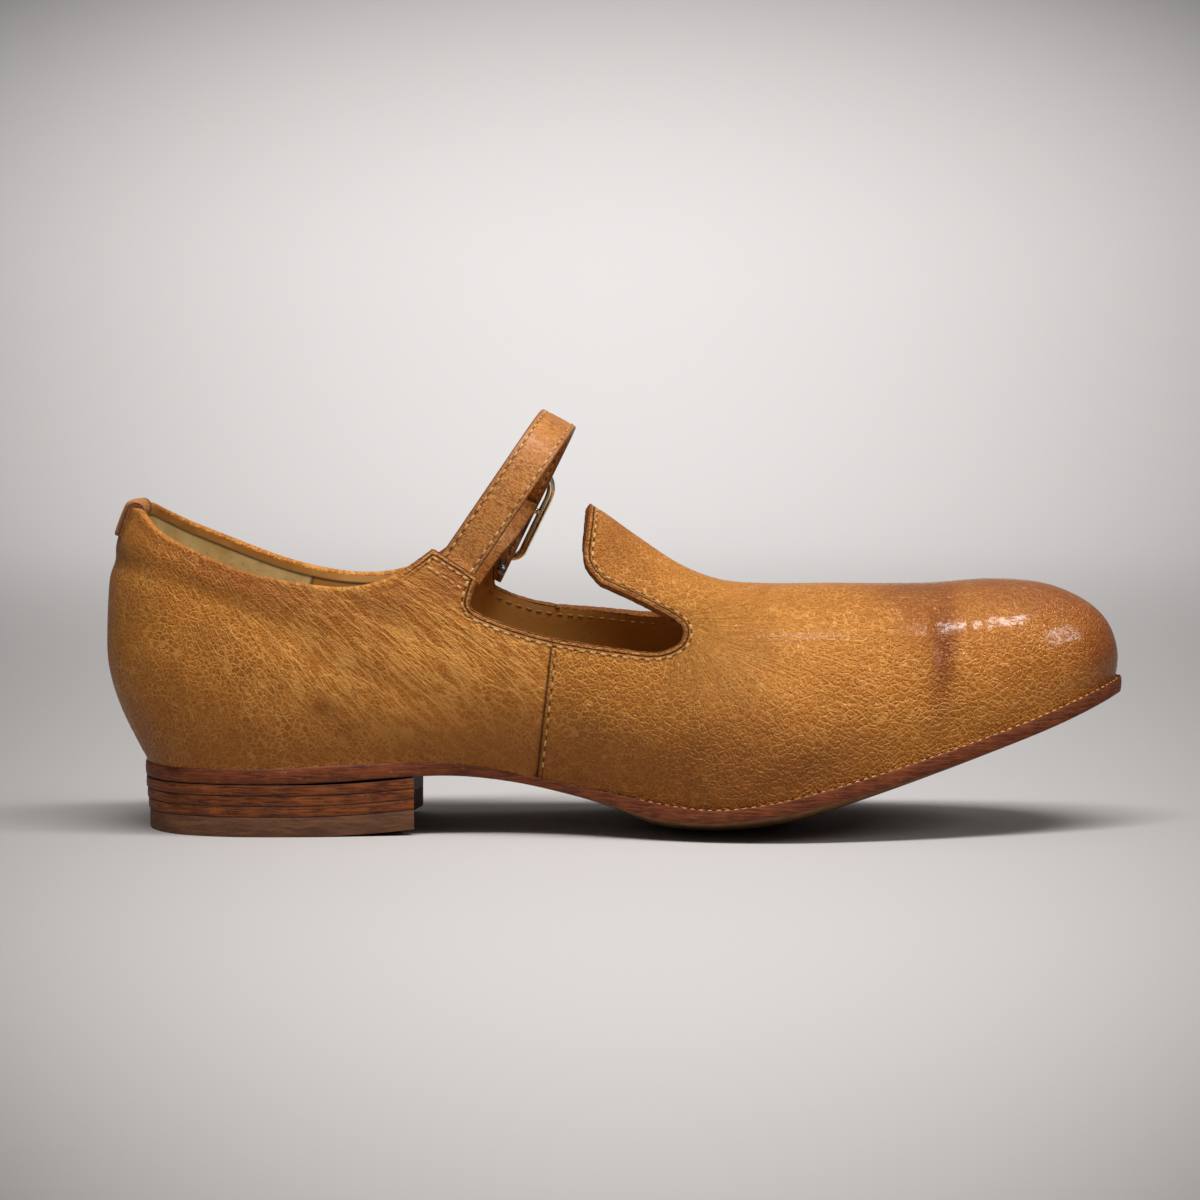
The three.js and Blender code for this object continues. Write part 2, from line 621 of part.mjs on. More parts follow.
function closedWire(points, radius, sides) {
  const sections = wireSections(points, radius, sides, true);
  const list = [];
  sections.forEach((section, i) => {
    const next = sections[(i + 1) % sections.length];
    for (let k = 0; k < sides; k += 1) {
      const n = (k + 1) % sides;
      quad(list, section[k], section[n], next[n], next[k]);
    }
  });
  return bodyOf(list);
}

// The top corners' handles: down the sides and in along the top
const SHOULDER = { down: 1.5, across: 2.5 };
const POINT_APART = 0.05; // points of the frame's line closer than this are one

// The frame's middle line: tight lower corners and a round top.
function frameLine() {
  const half = BUCKLE.width / 2 - BUCKLE.wire;
  const [low, high] = [BUCKLE.wire, BUCKLE.length - BUCKLE.wire];
  const outline = new THREE.Path();
  outline.moveTo(-half + BUCKLE.corner, low);
  outline.lineTo(half - BUCKLE.corner, low);
  outline.quadraticCurveTo(half, low, half, low + BUCKLE.corner);
  outline.lineTo(half, high - BUCKLE.topRound);
  const [side, turn] = [half - SHOULDER.across, high - SHOULDER.down];
  outline.bezierCurveTo(half, turn, side, high, 0, high);
  outline.bezierCurveTo(-side, high, -half, turn, -half, high - BUCKLE.topRound);
  outline.lineTo(-half, low + BUCKLE.corner);
  outline.quadraticCurveTo(-half, low, -half + BUCKLE.corner, low);
  const apart = (v, i, all) => i === 0 || v.distanceTo(all[i - 1]) > POINT_APART;
  const flat = outline.getPoints(5).filter(apart);
  if (flat[0].distanceTo(flat[flat.length - 1]) < POINT_APART) flat.pop();
  return flat.map((v) => bucklePoint(v.y, v.x));
}

function frameGeometry() {
  const half = BUCKLE.width / 2 - BUCKLE.wire;
  const bar = [bucklePoint(BUCKLE.barAt, -half), bucklePoint(BUCKLE.barAt, half)];
  const ring = solidOf(closedWire(frameLine(), BUCKLE.wire, 10));
  return geometryOf(ring.add(solidOf(sweep(wireSections(bar, BUCKLE.bar, 10)))));
}

function prongGeometry() {
  const overTop = frameY(PRONG.to) - legY(PRONG.to) + BUCKLE.wire + GAP + PRONG.radius;
  const overStrap = OVER_BAR + STRAP.thick / 2 + GAP + PRONG.radius;
  const ends = [
    archPoint(legY(PRONG.from) + overStrap, PRONG.from).point,
    archPoint(legY(PRONG.to) + overTop, PRONG.to).point,
  ];
  return sweep(wireSections(ends, PRONG.radius, 8));
}

function studGeometry() {
  const profile = [new THREE.Vector2(0, -STUD.ball)];
  const meet = Math.asin(STUD.neck / STUD.ball);
  for (let i = 1; i <= 8; i += 1) {
    const a = Math.PI - ((Math.PI - meet) * i) / 8;
    profile.push(new THREE.Vector2(STUD.ball * Math.sin(a), STUD.ball * Math.cos(a)));
  }
  profile.reverse();
  const neckHeight = STUD.neckTop - STUD.z;
  const neck = [new THREE.Vector2(0, neckHeight), new THREE.Vector2(STUD.neck, neckHeight)];
  const stud = new THREE.LatheGeometry([...neck, ...profile].reverse(), 14);
  stud.rotateX(Math.PI / 2);
  stud.translate(STUD.x, OUTER_Y, STUD.z);
  return stud;
}

// ---- heel tab ----

// Height of the collar's side view at x.
function collarHeight(cut, x) {
  const curve = new THREE.SplineCurve(cut.collar.map(([px, pz]) => new THREE.Vector2(px, pz)));
  let [low, high] = [0, 1];
  for (let k = 0; k < 30; k += 1) {
    const m = (low + high) / 2;
    if (curve.getPoint(m).x < x) low = m;
    else high = m;
  }
  return curve.getPoint(low).y;
}

// The rib share at which rib p reaches height z.
function ribShare(p, z) {
  let [low, high] = [0, 1];
  for (let k = 0; k < 30; k += 1) {
    const m = (low + high) / 2;
    if (outside(p, m).z < z(outside(p, m).x)) low = m;
    else high = m;
  }
  return low;
}

function heelTabGeometry() {
  const rows = (offset) => {
    const columns = Array.from({ length: 9 }, (_, k) => {
      const p = -HEEL_TAB.span * (k / 4 - 1);
      const cut = p > 0 ? INNER_CUT : OUTER_CUT;
      const rim = ribShare(p, (x) => Math.max(collarHeight(cut, x), collarHeight(OUTER_CUT, x)));
      const low = ribShare(p, () => HEEL_TAB.lowOutside);
      const lowIn = ribShare(p, () => HEEL_TAB.lowInside);
      const column = [0, 0.5, 1].map((t) => wallPoint(p, low + (rim - low) * t, -offset));
      const [skin, lining] = [wallPoint(p, rim, -offset), wallPoint(p, rim, WALL + offset)];
      column.push(skin.setZ(skin.z + offset), lining.setZ(lining.z + offset));
      for (const t of [1, 0.5, 0]) column.push(wallPoint(p, lowIn + (rim - lowIn) * t, WALL + offset));
      return column;
    });
    return columns[0].map((_, i) => columns.map((column) => column[i]));
  };
  return plate(rows(HEEL_TAB.gap + HEEL_TAB.thick), rows(HEEL_TAB.gap));
}

const shoe = new THREE.Group();
const LEATHER = { color: 0xa66f34, roughness: 0.45, metalness: 0 };
const SOLE_LEATHER = { color: 0x6a3326, roughness: 0.4, metalness: 0 };
const LINING = { color: 0xa98a45, roughness: 0.7, metalness: 0 };
const WIRE = { color: 0xcbb98a, roughness: 0.2, metalness: 1 };
const STEEL = { color: 0x8a8681, roughness: 0.3, metalness: 1 };

function add(name, geometry, finish) {
  const mesh = new THREE.Mesh(geometry, new THREE.MeshStandardMaterial(finish));
  mesh.name = name;
  shoe.add(mesh);
  return mesh;
}

add("outsole", outsoleGeometry(), SOLE_LEATHER);
for (const layer of HEEL_LAYERS) {
  const finish = { color: layer.colour, roughness: layer.roughness, metalness: 0 };
  add(layer.name, heelLayerGeometry(layer), finish);
}
add("insole", insoleGeometry(), LINING);
add("upper", upperGeometry(), LEATHER);
add("strap", strapGeometry(), LEATHER);
add("buckle_tab", tabGeometry(), LEATHER);
add("buckle_frame", frameGeometry(), WIRE);
add("buckle_prong", prongGeometry(), WIRE);
add("tab_stud", studGeometry(), STEEL);
add("heel_tab", heelTabGeometry(), LEATHER);

const box = new THREE.Box3().setFromObject(shoe);
const middle = box.getCenter(new THREE.Vector3());
shoe.position.set(-middle.x, -middle.y, -box.min.z);

export default shoe;
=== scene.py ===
import math

import bpy
import numpy as np
from bpy.props import FloatProperty, FloatVectorProperty, PointerProperty
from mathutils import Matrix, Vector
from mathutils.bvhtree import BVHTree
from mathutils.geometry import delaunay_2d_cdt


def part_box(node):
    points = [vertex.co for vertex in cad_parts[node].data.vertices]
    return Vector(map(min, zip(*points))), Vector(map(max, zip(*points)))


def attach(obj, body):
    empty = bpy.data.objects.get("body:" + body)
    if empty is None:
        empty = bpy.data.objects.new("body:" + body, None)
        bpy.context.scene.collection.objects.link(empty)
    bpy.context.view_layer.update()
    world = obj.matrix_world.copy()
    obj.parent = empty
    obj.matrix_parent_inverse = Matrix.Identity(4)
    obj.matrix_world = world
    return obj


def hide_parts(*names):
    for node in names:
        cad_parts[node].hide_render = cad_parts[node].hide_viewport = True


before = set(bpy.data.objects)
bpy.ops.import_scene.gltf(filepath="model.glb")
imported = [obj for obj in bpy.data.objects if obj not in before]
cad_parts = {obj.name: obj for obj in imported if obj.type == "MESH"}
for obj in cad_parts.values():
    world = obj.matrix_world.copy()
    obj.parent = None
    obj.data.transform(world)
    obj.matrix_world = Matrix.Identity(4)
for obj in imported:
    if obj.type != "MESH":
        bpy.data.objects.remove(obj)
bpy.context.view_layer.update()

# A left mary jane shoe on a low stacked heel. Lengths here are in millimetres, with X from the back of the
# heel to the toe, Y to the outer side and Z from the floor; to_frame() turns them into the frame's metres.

bl_info = {
    "name": "Mary jane shoe",
    "version": (1, 0, 0),
    "blender": (4, 5, 0),
    "location": "3D View > Sidebar > Shoe",
    "description": "Makes a low-heeled leather mary jane with a buckled strap",
    "category": "Object",
}

MM = 0.001

# ---- sizes of the last, as in the frame's solids ----

LENGTH = 262.3
BALL_WIDTH = 86.3
INSTEP_HEIGHT = 82.5
HEEL_HEIGHT = 13.5
WALL = 2.4
GAP = 0.3


def columns(names, rows):
    """A short table as one array for each named column."""
    return dict(zip(names.split(), np.array(rows, float).T))


# Rib stations from the heel's back to the toe: fractions of LENGTH along and of BALL_WIDTH across.
STATIONS = columns(
    "ridge in_x in_y out_x out_y in_bulge out_bulge square",
    [
        (0.122, 0.037, 0.0, 0.037, 0.0, 10.2, 10.2, 3.6),
        (0.122, 0.047, 0.144, 0.047, 0.144, 9.4, 9.4, 3.5),
        (0.124, 0.077, 0.262, 0.077, 0.264, 7.4, 7.4, 3.1),
        (0.142, 0.132, 0.326, 0.132, 0.331, 5.2, 5.2, 2.8),
        (0.206, 0.206, 0.33, 0.206, 0.345, 4.6, 4.0, 2.7),
        (0.282, 0.282, 0.302, 0.282, 0.35, 5.6, 3.6, 2.6),
        (0.358, 0.358, 0.272, 0.358, 0.36, 7.0, 3.0, 2.5),
        (0.435, 0.435, 0.29, 0.435, 0.389, 6.5, 3.0, 2.4),
        (0.511, 0.511, 0.377, 0.511, 0.438, 4.0, 3.0, 2.35),
        (0.583, 0.591, 0.464, 0.58, 0.487, 2.4, 2.5, 2.3),
        (0.652, 0.667, 0.493, 0.65, 0.507, 1.6, 2.0, 2.3),
        (0.717, 0.744, 0.469, 0.722, 0.5, 1.3, 1.5, 2.35),
        (0.779, 0.812, 0.422, 0.795, 0.468, 1.2, 1.3, 2.4),
        (0.825, 0.88, 0.352, 0.866, 0.41, 1.1, 1.1, 2.5),
        (0.851, 0.938, 0.268, 0.93, 0.318, 1.0, 1.0, 2.6),
        (0.861, 0.981, 0.158, 0.978, 0.176, 1.0, 1.0, 2.65),
        (0.8616, 1.0, 0.01, 1.0, -0.01, 1.0, 1.0, 2.7),
    ],
)
BULGE_PEAK = 0.33
BULGE_END = 0.86

# The ridge over the foot: its side shift as a share of BALL_WIDTH, and its height.
RIDGE = columns(
    "along shift height",
    [
        (0.12, 0.0, 110.0),
        (0.229, 0.0, 108.0),
        (0.344, -0.012, 101.0),
        (0.42, -0.03, 93.0),
        (0.4826, -0.05, INSTEP_HEIGHT),
        (0.525, -0.065, INSTEP_HEIGHT - 7.7),
        (0.564, -0.078, INSTEP_HEIGHT - 14.4),
        (0.604, -0.088, INSTEP_HEIGHT - 18.3),
        (0.645, -0.095, INSTEP_HEIGHT - 19.3),
        (0.72, -0.095, INSTEP_HEIGHT - 19.3),
        (0.8, -0.075, INSTEP_HEIGHT - 19.3),
        (0.8616, -0.05, INSTEP_HEIGHT - 18.2),
    ],
)

# The sole's edge: heights of its top and bottom over the heel's seat, and how far the middle hangs below.
SOLE = columns(
    "along top bottom crown",
    [
        (0.037, 4.0, 0.0, 0.0),
        (0.13, 4.0, 0.0, 0.0),
        (0.185, 4.3, 0.1, 0.0),
        (0.229, 4.9, 0.5, 0.0),
        (0.3, 5.5, 1.6, 0.0),
        (0.35, 4.7, 1.6, 0.0),
        (0.4, 3.0, 0.2, 0.5),
        (0.45, 0.3, -2.3, 1.6),
        (0.5, -1.9, -5.2, 3.2),
        (0.54, -3.8, -7.9, 5.2),
        (0.59, -5.1, -8.6, 5.7),
        (0.635, -3.9, -7.4, 6.5),
        (0.68, -1.4, -5.2, 6.3),
        (0.77, 5.3, 1.2, 4.5),
        (0.868, 13.4, 9.4, 3.0),
        (0.93, 19.1, 15.0, 2.0),
        (1.0, 26.1, 22.3, 1.0),
    ],
)
SOLE_MARGIN = {"heel": 0.3, "forefoot": 1.6, "start": 115, "end": 150}
INSOLE_THICKNESS = 2.5
HEEL = {"breast": 80.2, "hollow": 3, "taper": 1.3, "rise": 1.6, "rise_from": 50, "ledge": 0.05}
HEEL_LAYERS = [
    ("top_piece", 0.0, 5.0),
    ("heel_lift_1", 5.3, 7.75),
    ("heel_lift_2", 8.05, 10.45),
    ("heel_lift_3", 10.75, 13.2),
]

# Side views of the opening's edge, as (x, z), on the inner and the outer side of the foot.
INNER_CUT = {
    "collar": [(-6, 96), (2, 89.5), (9, 83.4), (14.6, 78.3), (23.2, 73.9), (39.7, 67.4), (61, 63.9),
               (74, 65.9), (81, 69.6)],
    "ear": [(85.2, 72.9), (96.3, 65.8)],
    "throat": [(94.9, 62.2), (94.4, 58.6), (97.6, 56.3), (104.8, 53.5), (115, 50.7), (132, 48.1),
               (141.5, 47.3), (147, 49.2), (148.7, 52.2)],
    "tongue": [(147, 55.3), (137.2, 60.6), (127.4, 64.9)],
}
OUTER_CUT = {
    "collar": [(-6, 96), (2, 89.5), (9, 84), (14.5, 80.4), (22.7, 76.4), (44.6, 67.8), (62, 64.3), (77, 65.3),
               (84, 68.5)],
    "ear": [(89.6, 72.6), (99.2, 67.4)],
    "throat": [(98.9, 62.5), (100.4, 59.6), (111.5, 55.7), (127.4, 54.2), (141, 53.2), (147.4, 54),
               (149.2, 56)],
    "tongue": [(146.8, 58.2), (137.6, 62.4), (127.4, 66.2)],
}
TONGUE_CORNER = (123.3, 69.5)
TONGUE_TIP = (125.9, INSTEP_HEIGHT + 6)

# The strap and the buckle on its outer leg
STRAP = {"width": 10, "thick": 1.8, "rise": 40.5, "power": 3, "tuck": 9, "free_end": 6}
INNER_LEG = {"x": 92.2, "z": 70, "lean": 34.4}
OUTER_LEG = {"x": 99.2, "z": 68.8, "lean": 26}
BUCKLE = {"length": 27.4, "width": 15.4, "wire": 1.1, "bar": 0.8, "bar_at": 15.5, "corner": 3, "top_round": 7}
BUCKLE_OUT = {"bottom": 5.8, "top": 2.9}
PRONG = {"radius": 0.6, "start": 17.7, "end": 28}
TAB = {"width": 10, "thick": 1.2}
STUD = {"x": 101.3, "z": 64.6, "ball": 1.3, "neck": 0.7, "neck_top": 67.2}
HEEL_TAB = {"thick": 1.2, "low_outside": 75.3, "low_inside": 77.5, "span": 0.66}


# ---- small maths ----


def smooth(x, low, high):
    """0 below low, 1 above high, and an even rise between."""
    t = np.clip((np.asarray(x, float) - low) / (high - low), 0, 1)
    return t * t * (3 - 2 * t)


def hump(x, centre, width):
    return np.exp(-(((np.asarray(x, float) - centre) / width) ** 2))


def unit(v):
    return v / np.maximum(np.linalg.norm(v, axis=-1, keepdims=True), 1e-12)


def spline(points, steps):
    """A smooth curve through points, with steps to each span."""
    points = np.array(points, float)
    padded = np.vstack([points[:1], points, points[-1:]])
    t = np.linspace(0, 1, steps, endpoint=False)[:, None]
    spans = []
    for a, b, c, d in zip(padded, padded[1:], padded[2:], padded[3:]):
        spans.append(b + 0.5 * t * (c - a + t * (2 * a - 5 * b + 4 * c - d + t * (3 * (b - c) + d - a))))
    return np.vstack([*spans, points[-1:]])


def lengths(points):
    """Distance along a line of points, from 0."""
    return np.concatenate([[0], np.cumsum(np.linalg.norm(np.diff(points, axis=0), axis=1))])


def resample(points, pitch, extra=()):
    """Evenly spaced points on a line, with any other columns carried along."""
    run = lengths(points)
    at = np.linspace(0, run[-1], max(int(round(run[-1] / pitch)), 1) + 1)
    values = [points, *extra]
    out = []
    for value in values:
        value = np.asarray(value, float)
        if value.ndim == 1:
            out.append(np.interp(at, run, value))
        else:
            out.append(np.stack([np.interp(at, run, value[:, k]) for k in range(value.shape[1])], axis=1))
    return out if extra else out[0]


def along(table, x, column):
    """A smooth value between a table's rows."""
    at, value = table["along"], table[column]
    x = np.clip(np.asarray(x, float) / LENGTH, at[0], at[-1])
    i = np.clip(np.searchsorted(at, x) - 1, 0, len(at) - 2)
    before, after = np.maximum(i - 1, 0), np.minimum(i + 2, len(at) - 1)
    span = at[i + 1] - at[i]
    slope_a = (value[i + 1] - value[before]) / (at[i + 1] - at[before])
    slope_b = (value[after] - value[i]) / (at[after] - at[i])
    t = (x - at[i]) / span
    return (
        (2 * t**3 - 3 * t**2 + 1) * value[i]
        + (t**3 - 2 * t**2 + t) * span * slope_a
        + (3 * t**2 - 2 * t**3) * value[i + 1]
        + (t**3 - t**2) * span * slope_b
    )


# ---- the last ----

TOE = len(STATIONS["ridge"]) - 1
LOOP = 2 * TOE


def loop_column(inner, outer, scale=1.0, inner_sign=1.0):
    """A station column as one loop: up the inner side to the toe and back along the outer side."""
    return np.concatenate([STATIONS[inner] * inner_sign, STATIONS[outer][-2:0:-1]]) * scale


RIBS = {
    "ridge": loop_column("ridge", "ridge", LENGTH),
    "x": loop_column("in_x", "out_x", LENGTH),
    "y": loop_column("in_y", "out_y", BALL_WIDTH, -1.0),
    "bulge": loop_column("in_bulge", "out_bulge"),
    "square": loop_column("square", "square"),
}


def rib(p, column):
    """A rib value at place p on the loop."""
    p = np.asarray(p, float)
    i = np.floor(p).astype(int)
    t = p - i
    a, b, c, d = (RIBS[column][(i + k) % LOOP] for k in (-1, 0, 1, 2))
    return b + 0.5 * t * (c - a + t * (2 * a - 5 * b + 4 * c - d + t * (3 * (b - c) + d - a)))


def ridge_point(x):
    side = along(RIDGE, x, "shift") * BALL_WIDTH
    return np.stack([np.asarray(x, float), side, along(RIDGE, x, "height")], -1)


def sole_margin(x):
    rise = smooth(x, SOLE_MARGIN["start"], SOLE_MARGIN["end"])
    return SOLE_MARGIN["heel"] + (SOLE_MARGIN["forefoot"] - SOLE_MARGIN["heel"]) * rise


def foot_point(p, inset):
    """The sole's edge at rib p, drawn in by inset towards the ridge."""
    edge = np.stack([rib(p, "x"), rib(p, "y")], -1)
    to_ridge = ridge_point(rib(p, "ridge"))[..., :2] - edge
    return edge + unit(to_ridge) * np.asarray(inset, float)[..., None]


INNER_EDGE = np.linspace(0, TOE, 3201)
OUTER_EDGE = LOOP - INNER_EDGE


def cross_share(x, y):
    """How far across the sole a plan point is: 0 on the middle, 1 at the edge."""
    inner = np.interp(x, rib(INNER_EDGE, "x"), rib(INNER_EDGE, "y"))
    outer = np.interp(x, rib(OUTER_EDGE, "x"), rib(OUTER_EDGE, "y"))
    half = np.maximum((outer - inner) / 2, 1)
    return np.minimum(np.abs(y - (inner + outer) / 2) / half, 1)


def sole_top(x, y):
    return HEEL_HEIGHT + along(SOLE, x, "top") - along(SOLE, x, "crown") * (1 - cross_share(x, y) ** 2)


def sole_bottom(x, y):
    drop = along(SOLE, x, "crown") * (1 - cross_share(x, y) ** 2)
    return np.maximum(HEEL_HEIGHT + along(SOLE, x, "bottom") - drop, 0)


def bulge_share(w):
    fall = np.clip((w - BULGE_PEAK) / (BULGE_END - BULGE_PEAK), 0, 1)
    rise = np.sin(math.pi / 2 * np.clip(w / BULGE_PEAK, 0, 1))
    return np.where(w < BULGE_PEAK, rise, np.cos(math.pi / 2 * fall**1.5))


def outside(p, s):
    """The upper's outside: p runs round the loop of ribs, s from the featherline, 0, to the ridge, 1."""
    p, s = np.broadcast_arrays(np.asarray(p, float), np.asarray(s, float))
    foot = foot_point(p, sole_margin(rib(p, "x")))
    ridge = ridge_point(rib(p, "ridge"))
    c, w0 = np.maximum(np.cos(s * math.pi / 2), 1e-9), np.maximum(np.sin(s * math.pi / 2), 1e-9)
    n = rib(p, "square")
    r = (c**n + w0**n) ** (-1 / n)
    h, w = np.where(s < 1, r * c, 0), np.where(s < 1, r * w0, 1)
    plan = foot - ridge[..., :2]
    out = h + rib(p, "bulge") * bulge_share(w) / np.linalg.norm(plan, axis=-1)
    z0 = sole_top(foot[..., 0], foot[..., 1]) + GAP
    return np.stack([ridge[..., 0] + plan[..., 0] * out, ridge[..., 1] + plan[..., 1] * out,
                     z0 + (ridge[..., 2] - z0) * w], -1)


def wall_normal(p, s):
    step = 0.01
    p, s = np.broadcast_arrays(np.asarray(p, float), np.asarray(s, float))
    high, low = np.minimum(s + step, 1), np.maximum(s - step, 0)
    turn = outside(p + step, np.minimum(s, 0.995)) - outside(p - step, np.minimum(s, 0.995))
    return unit(np.cross(turn, outside(p, high) - outside(p, low)))


def wall_point(p, s, depth):
    return outside(p, s) - wall_normal(p, s) * np.asarray(depth, float)[..., None]


def shift_of_frame():
    """From the heel's back and the floor to the frame's origin, found from the outsole's own box."""
    low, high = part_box("outsole")
    return np.array([high.x / MM - LENGTH, low.y / MM - rib(INNER_EDGE, "y").min(), 0.0])


SHIFT = shift_of_frame()


def to_frame(points):
    return (np.asarray(points, float) + SHIFT) * MM


class LastMap:
    """The last unrolled: distances up each rib, and a flat drawing of the skin for meshing and grain."""

    ribs = 1280
    rungs = 140

    def __init__(self):
        self.p = np.arange(self.ribs) * LOOP / self.ribs
        self.s = np.linspace(0, 1, self.rungs + 1)
        self.points = outside(self.p[:, None], self.s[None, :])
        steps = np.linalg.norm(np.diff(self.points, axis=1), axis=2)
        self.climb = np.concatenate([np.zeros((self.ribs, 1)), np.cumsum(steps, axis=1)], axis=1)
        self.total = self.climb[:, -1]

    def full_climb(self, p):
        return np.interp(np.mod(p, LOOP), np.append(self.p, LOOP), np.append(self.total, self.total[0]))

    def climb_at(self, p, s):
        """Distance up the rib from the featherline."""
        i = np.mod(p, LOOP) * self.ribs / LOOP
        k = s * self.rungs
        i0, k0 = np.floor(i).astype(int), np.minimum(np.floor(k).astype(int), self.rungs - 1)
        turn, up = i - i0, k - k0
        a, b = self.climb[i0 % self.ribs], self.climb[(i0 + 1) % self.ribs]
        rows = np.arange(len(i0))
        low = a[rows, k0] * (1 - up) + a[rows, k0 + 1] * up
        high = b[rows, k0] * (1 - up) + b[rows, k0 + 1] * up
        return low * (1 - turn) + high * turn

    def flat(self, p, s):
        """The flat drawing: plan of the ridge, then out along the rib by the distance from the ridge."""
        ridge = ridge_point(rib(p, "ridge"))[..., :2]
        away = unit(foot_point(p, sole_margin(rib(p, "x"))) - ridge)
        return ridge + away * (self.full_climb(p) - self.climb_at(p, s))[:, None]

    def place(self, side, x, z):
        """Rib and share of the skin's points at side-view places on one side, -1 inner or 1 outer."""
        x, z = np.atleast_1d(np.asarray(x, float)), np.atleast_1d(np.asarray(z, float))
        half = self.p < TOE if side < 0 else self.p > TOE
        near = self.points[half][:, ::2]
        p_of, s_of = self.p[half], self.s[::2]
        found_p, found_s = np.empty(len(x)), np.empty(len(x))
        for i in range(len(x)):
            gap = (near[..., 0] - x[i]) ** 2 + (near[..., 2] - z[i]) ** 2
            a, b = np.unravel_index(np.argmin(gap), gap.shape)
            found_p[i], found_s[i] = p_of[a], s_of[b]
        step = 1e-3
        for _ in range(6):
            found_s = np.clip(found_s, 0.002, 0.99)
            here = outside(found_p, found_s)[:, [0, 2]]
            by_p = (outside(found_p + step, found_s)[:, [0, 2]] - here) / step
            by_s = (outside(found_p, found_s + step)[:, [0, 2]] - here) / step
            gap = np.stack([x, z], 1) - here
            scale = by_p[:, 0] * by_s[:, 1] - by_p[:, 1] * by_s[:, 0]
            scale = np.where(np.abs(scale) < 1, np.sign(scale + 1e-9), scale)
            p_step = (gap[:, 0] * by_s[:, 1] - gap[:, 1] * by_s[:, 0]) / scale
            s_step = (by_p[:, 0] * gap[:, 1] - by_p[:, 1] * gap[:, 0]) / scale
            found_p = found_p + np.clip(p_step, -0.1, 0.1)
            found_s = found_s + np.clip(s_step, -0.02, 0.02)
        return found_p, np.clip(found_s, 0, 1)


LAST = LastMap()
ROLL = 0.9  # how far the folded collar's edge stands over its cut
COLLAR_START = 9.3  # the round back of the collar is bridged behind this
EDGE_PITCH = 0.7  # spacing of the points that the opening's edge is found from


def side_edge(cut, side):
    """One side of the opening from the heel to the tongue's tip: ribs, shares, and 1 where the cut is raw."""
    collar = spline(cut["collar"], 12)
    collar = collar[collar[:, 0] > COLLAR_START]
    collar[:, 1] -= ROLL * (1 - smooth(collar[:, 0], 70, 82))
    ear = np.linspace(cut["ear"][0], cut["ear"][1], 12)
    throat = spline([cut["ear"][1], *cut["throat"], *cut["tongue"]], 8)[1:]
    corner = np.linspace(throat[-1], TONGUE_CORNER, 6)[1:]
    behind = resample(np.vstack([collar, ear]), EDGE_PITCH)
    ahead_of_ear = resample(np.vstack([ear[-1:], throat, corner]), EDGE_PITCH)[1:]
    line = np.vstack([behind, ahead_of_ear])
    raw = smooth(line[:, 0], 74, 84) * (np.arange(len(line)) > len(collar) * 0.3)
    p, s = LAST.place(side, line[:, 0], line[:, 1])
    tip_s = s[-1] + (1 - s[-1]) * np.linspace(0, 1, 26)[1:]
    tip_p = np.full(len(tip_s), p[-1])
    slope = (TONGUE_TIP[0] - TONGUE_CORNER[0]) / (TONGUE_TIP[1] - TONGUE_CORNER[1])
    for _ in range(8):
        here = outside(tip_p, tip_s)
        miss = TONGUE_CORNER[0] + (here[:, 2] - TONGUE_CORNER[1]) * slope - here[:, 0]
        ahead = outside(tip_p + 1e-3, tip_s)
        rate = (ahead[:, 0] - here[:, 0] - (ahead[:, 2] - here[:, 2]) * slope) / 1e-3
        tip_p = tip_p + miss / rate
    return np.append(p, tip_p), np.append(s, tip_s), np.append(raw, np.ones(len(tip_s)))


def opening_loop(pitch):
    """The opening's edge as one loop of ribs and shares, evenly spaced on the skin."""
    inner_p, inner_s, inner_raw = side_edge(INNER_CUT, -1)
    outer_p, outer_s, outer_raw = side_edge(OUTER_CUT, 1)
    keep = inner_p > 0.3
    inner_p, inner_s, inner_raw = inner_p[keep], inner_s[keep], inner_raw[keep]
    keep = outer_p < LOOP - 0.3
    outer_p, outer_s, outer_raw = outer_p[keep], outer_s[keep], outer_raw[keep]
    back_p = np.linspace(outer_p[0], LOOP + inner_p[0], 12)[1:]
    t = (back_p - outer_p[0]) / (LOOP + inner_p[0] - outer_p[0])
    back_s = outer_s[0] + (inner_s[0] - outer_s[0]) * t
    back = (back_p, back_s, np.zeros(len(back_p)))
    outer = [np.append(column[::-1], more) for column, more in zip((outer_p, outer_s, outer_raw), back)]
    halves = []
    for half in ((inner_p, inner_s, inner_raw), outer):
        _, *even = resample(outside(half[0], half[1]), pitch, half)
        halves.append([column[:-1] for column in even])
    p, s, raw = (np.concatenate(pair) for pair in zip(*halves))
    # the tongue's lower corners are cut round
    spot = outside(p, s)
    corner = np.hypot(spot[:, 0] - TONGUE_CORNER[0], spot[:, 2] - TONGUE_CORNER[1]) < CORNER_REACH
    for _ in range(CORNER_ROUNDS):
        p = np.where(corner, (np.roll(p, 1) + 2 * p + np.roll(p, -1)) / 4, p)
        s = np.where(corner, (np.roll(s, 1) + 2 * s + np.roll(s, -1)) / 4, s)
    return p, s, raw


CORNER_REACH = 6.5  # how far from the tongue's lower corner its edge is cut round
CORNER_ROUNDS = 24
OPENING_PITCH = 0.8
OPENING = opening_loop(OPENING_PITCH)


# ---- mesh helpers ----


def grid_faces(rows, cols, wrap_rows=False, wrap_cols=False, start=0):
    i = np.arange(rows if wrap_rows else rows - 1)[:, None]
    k = np.arange(cols if wrap_cols else cols - 1)[None, :]
    a, b = i * cols + k, (i + 1) % rows * cols + k
    c, d = (i + 1) % rows * cols + (k + 1) % cols, i * cols + (k + 1) % cols
    return (np.stack([a, b, c, d], -1).reshape(-1, 4) + start).tolist()


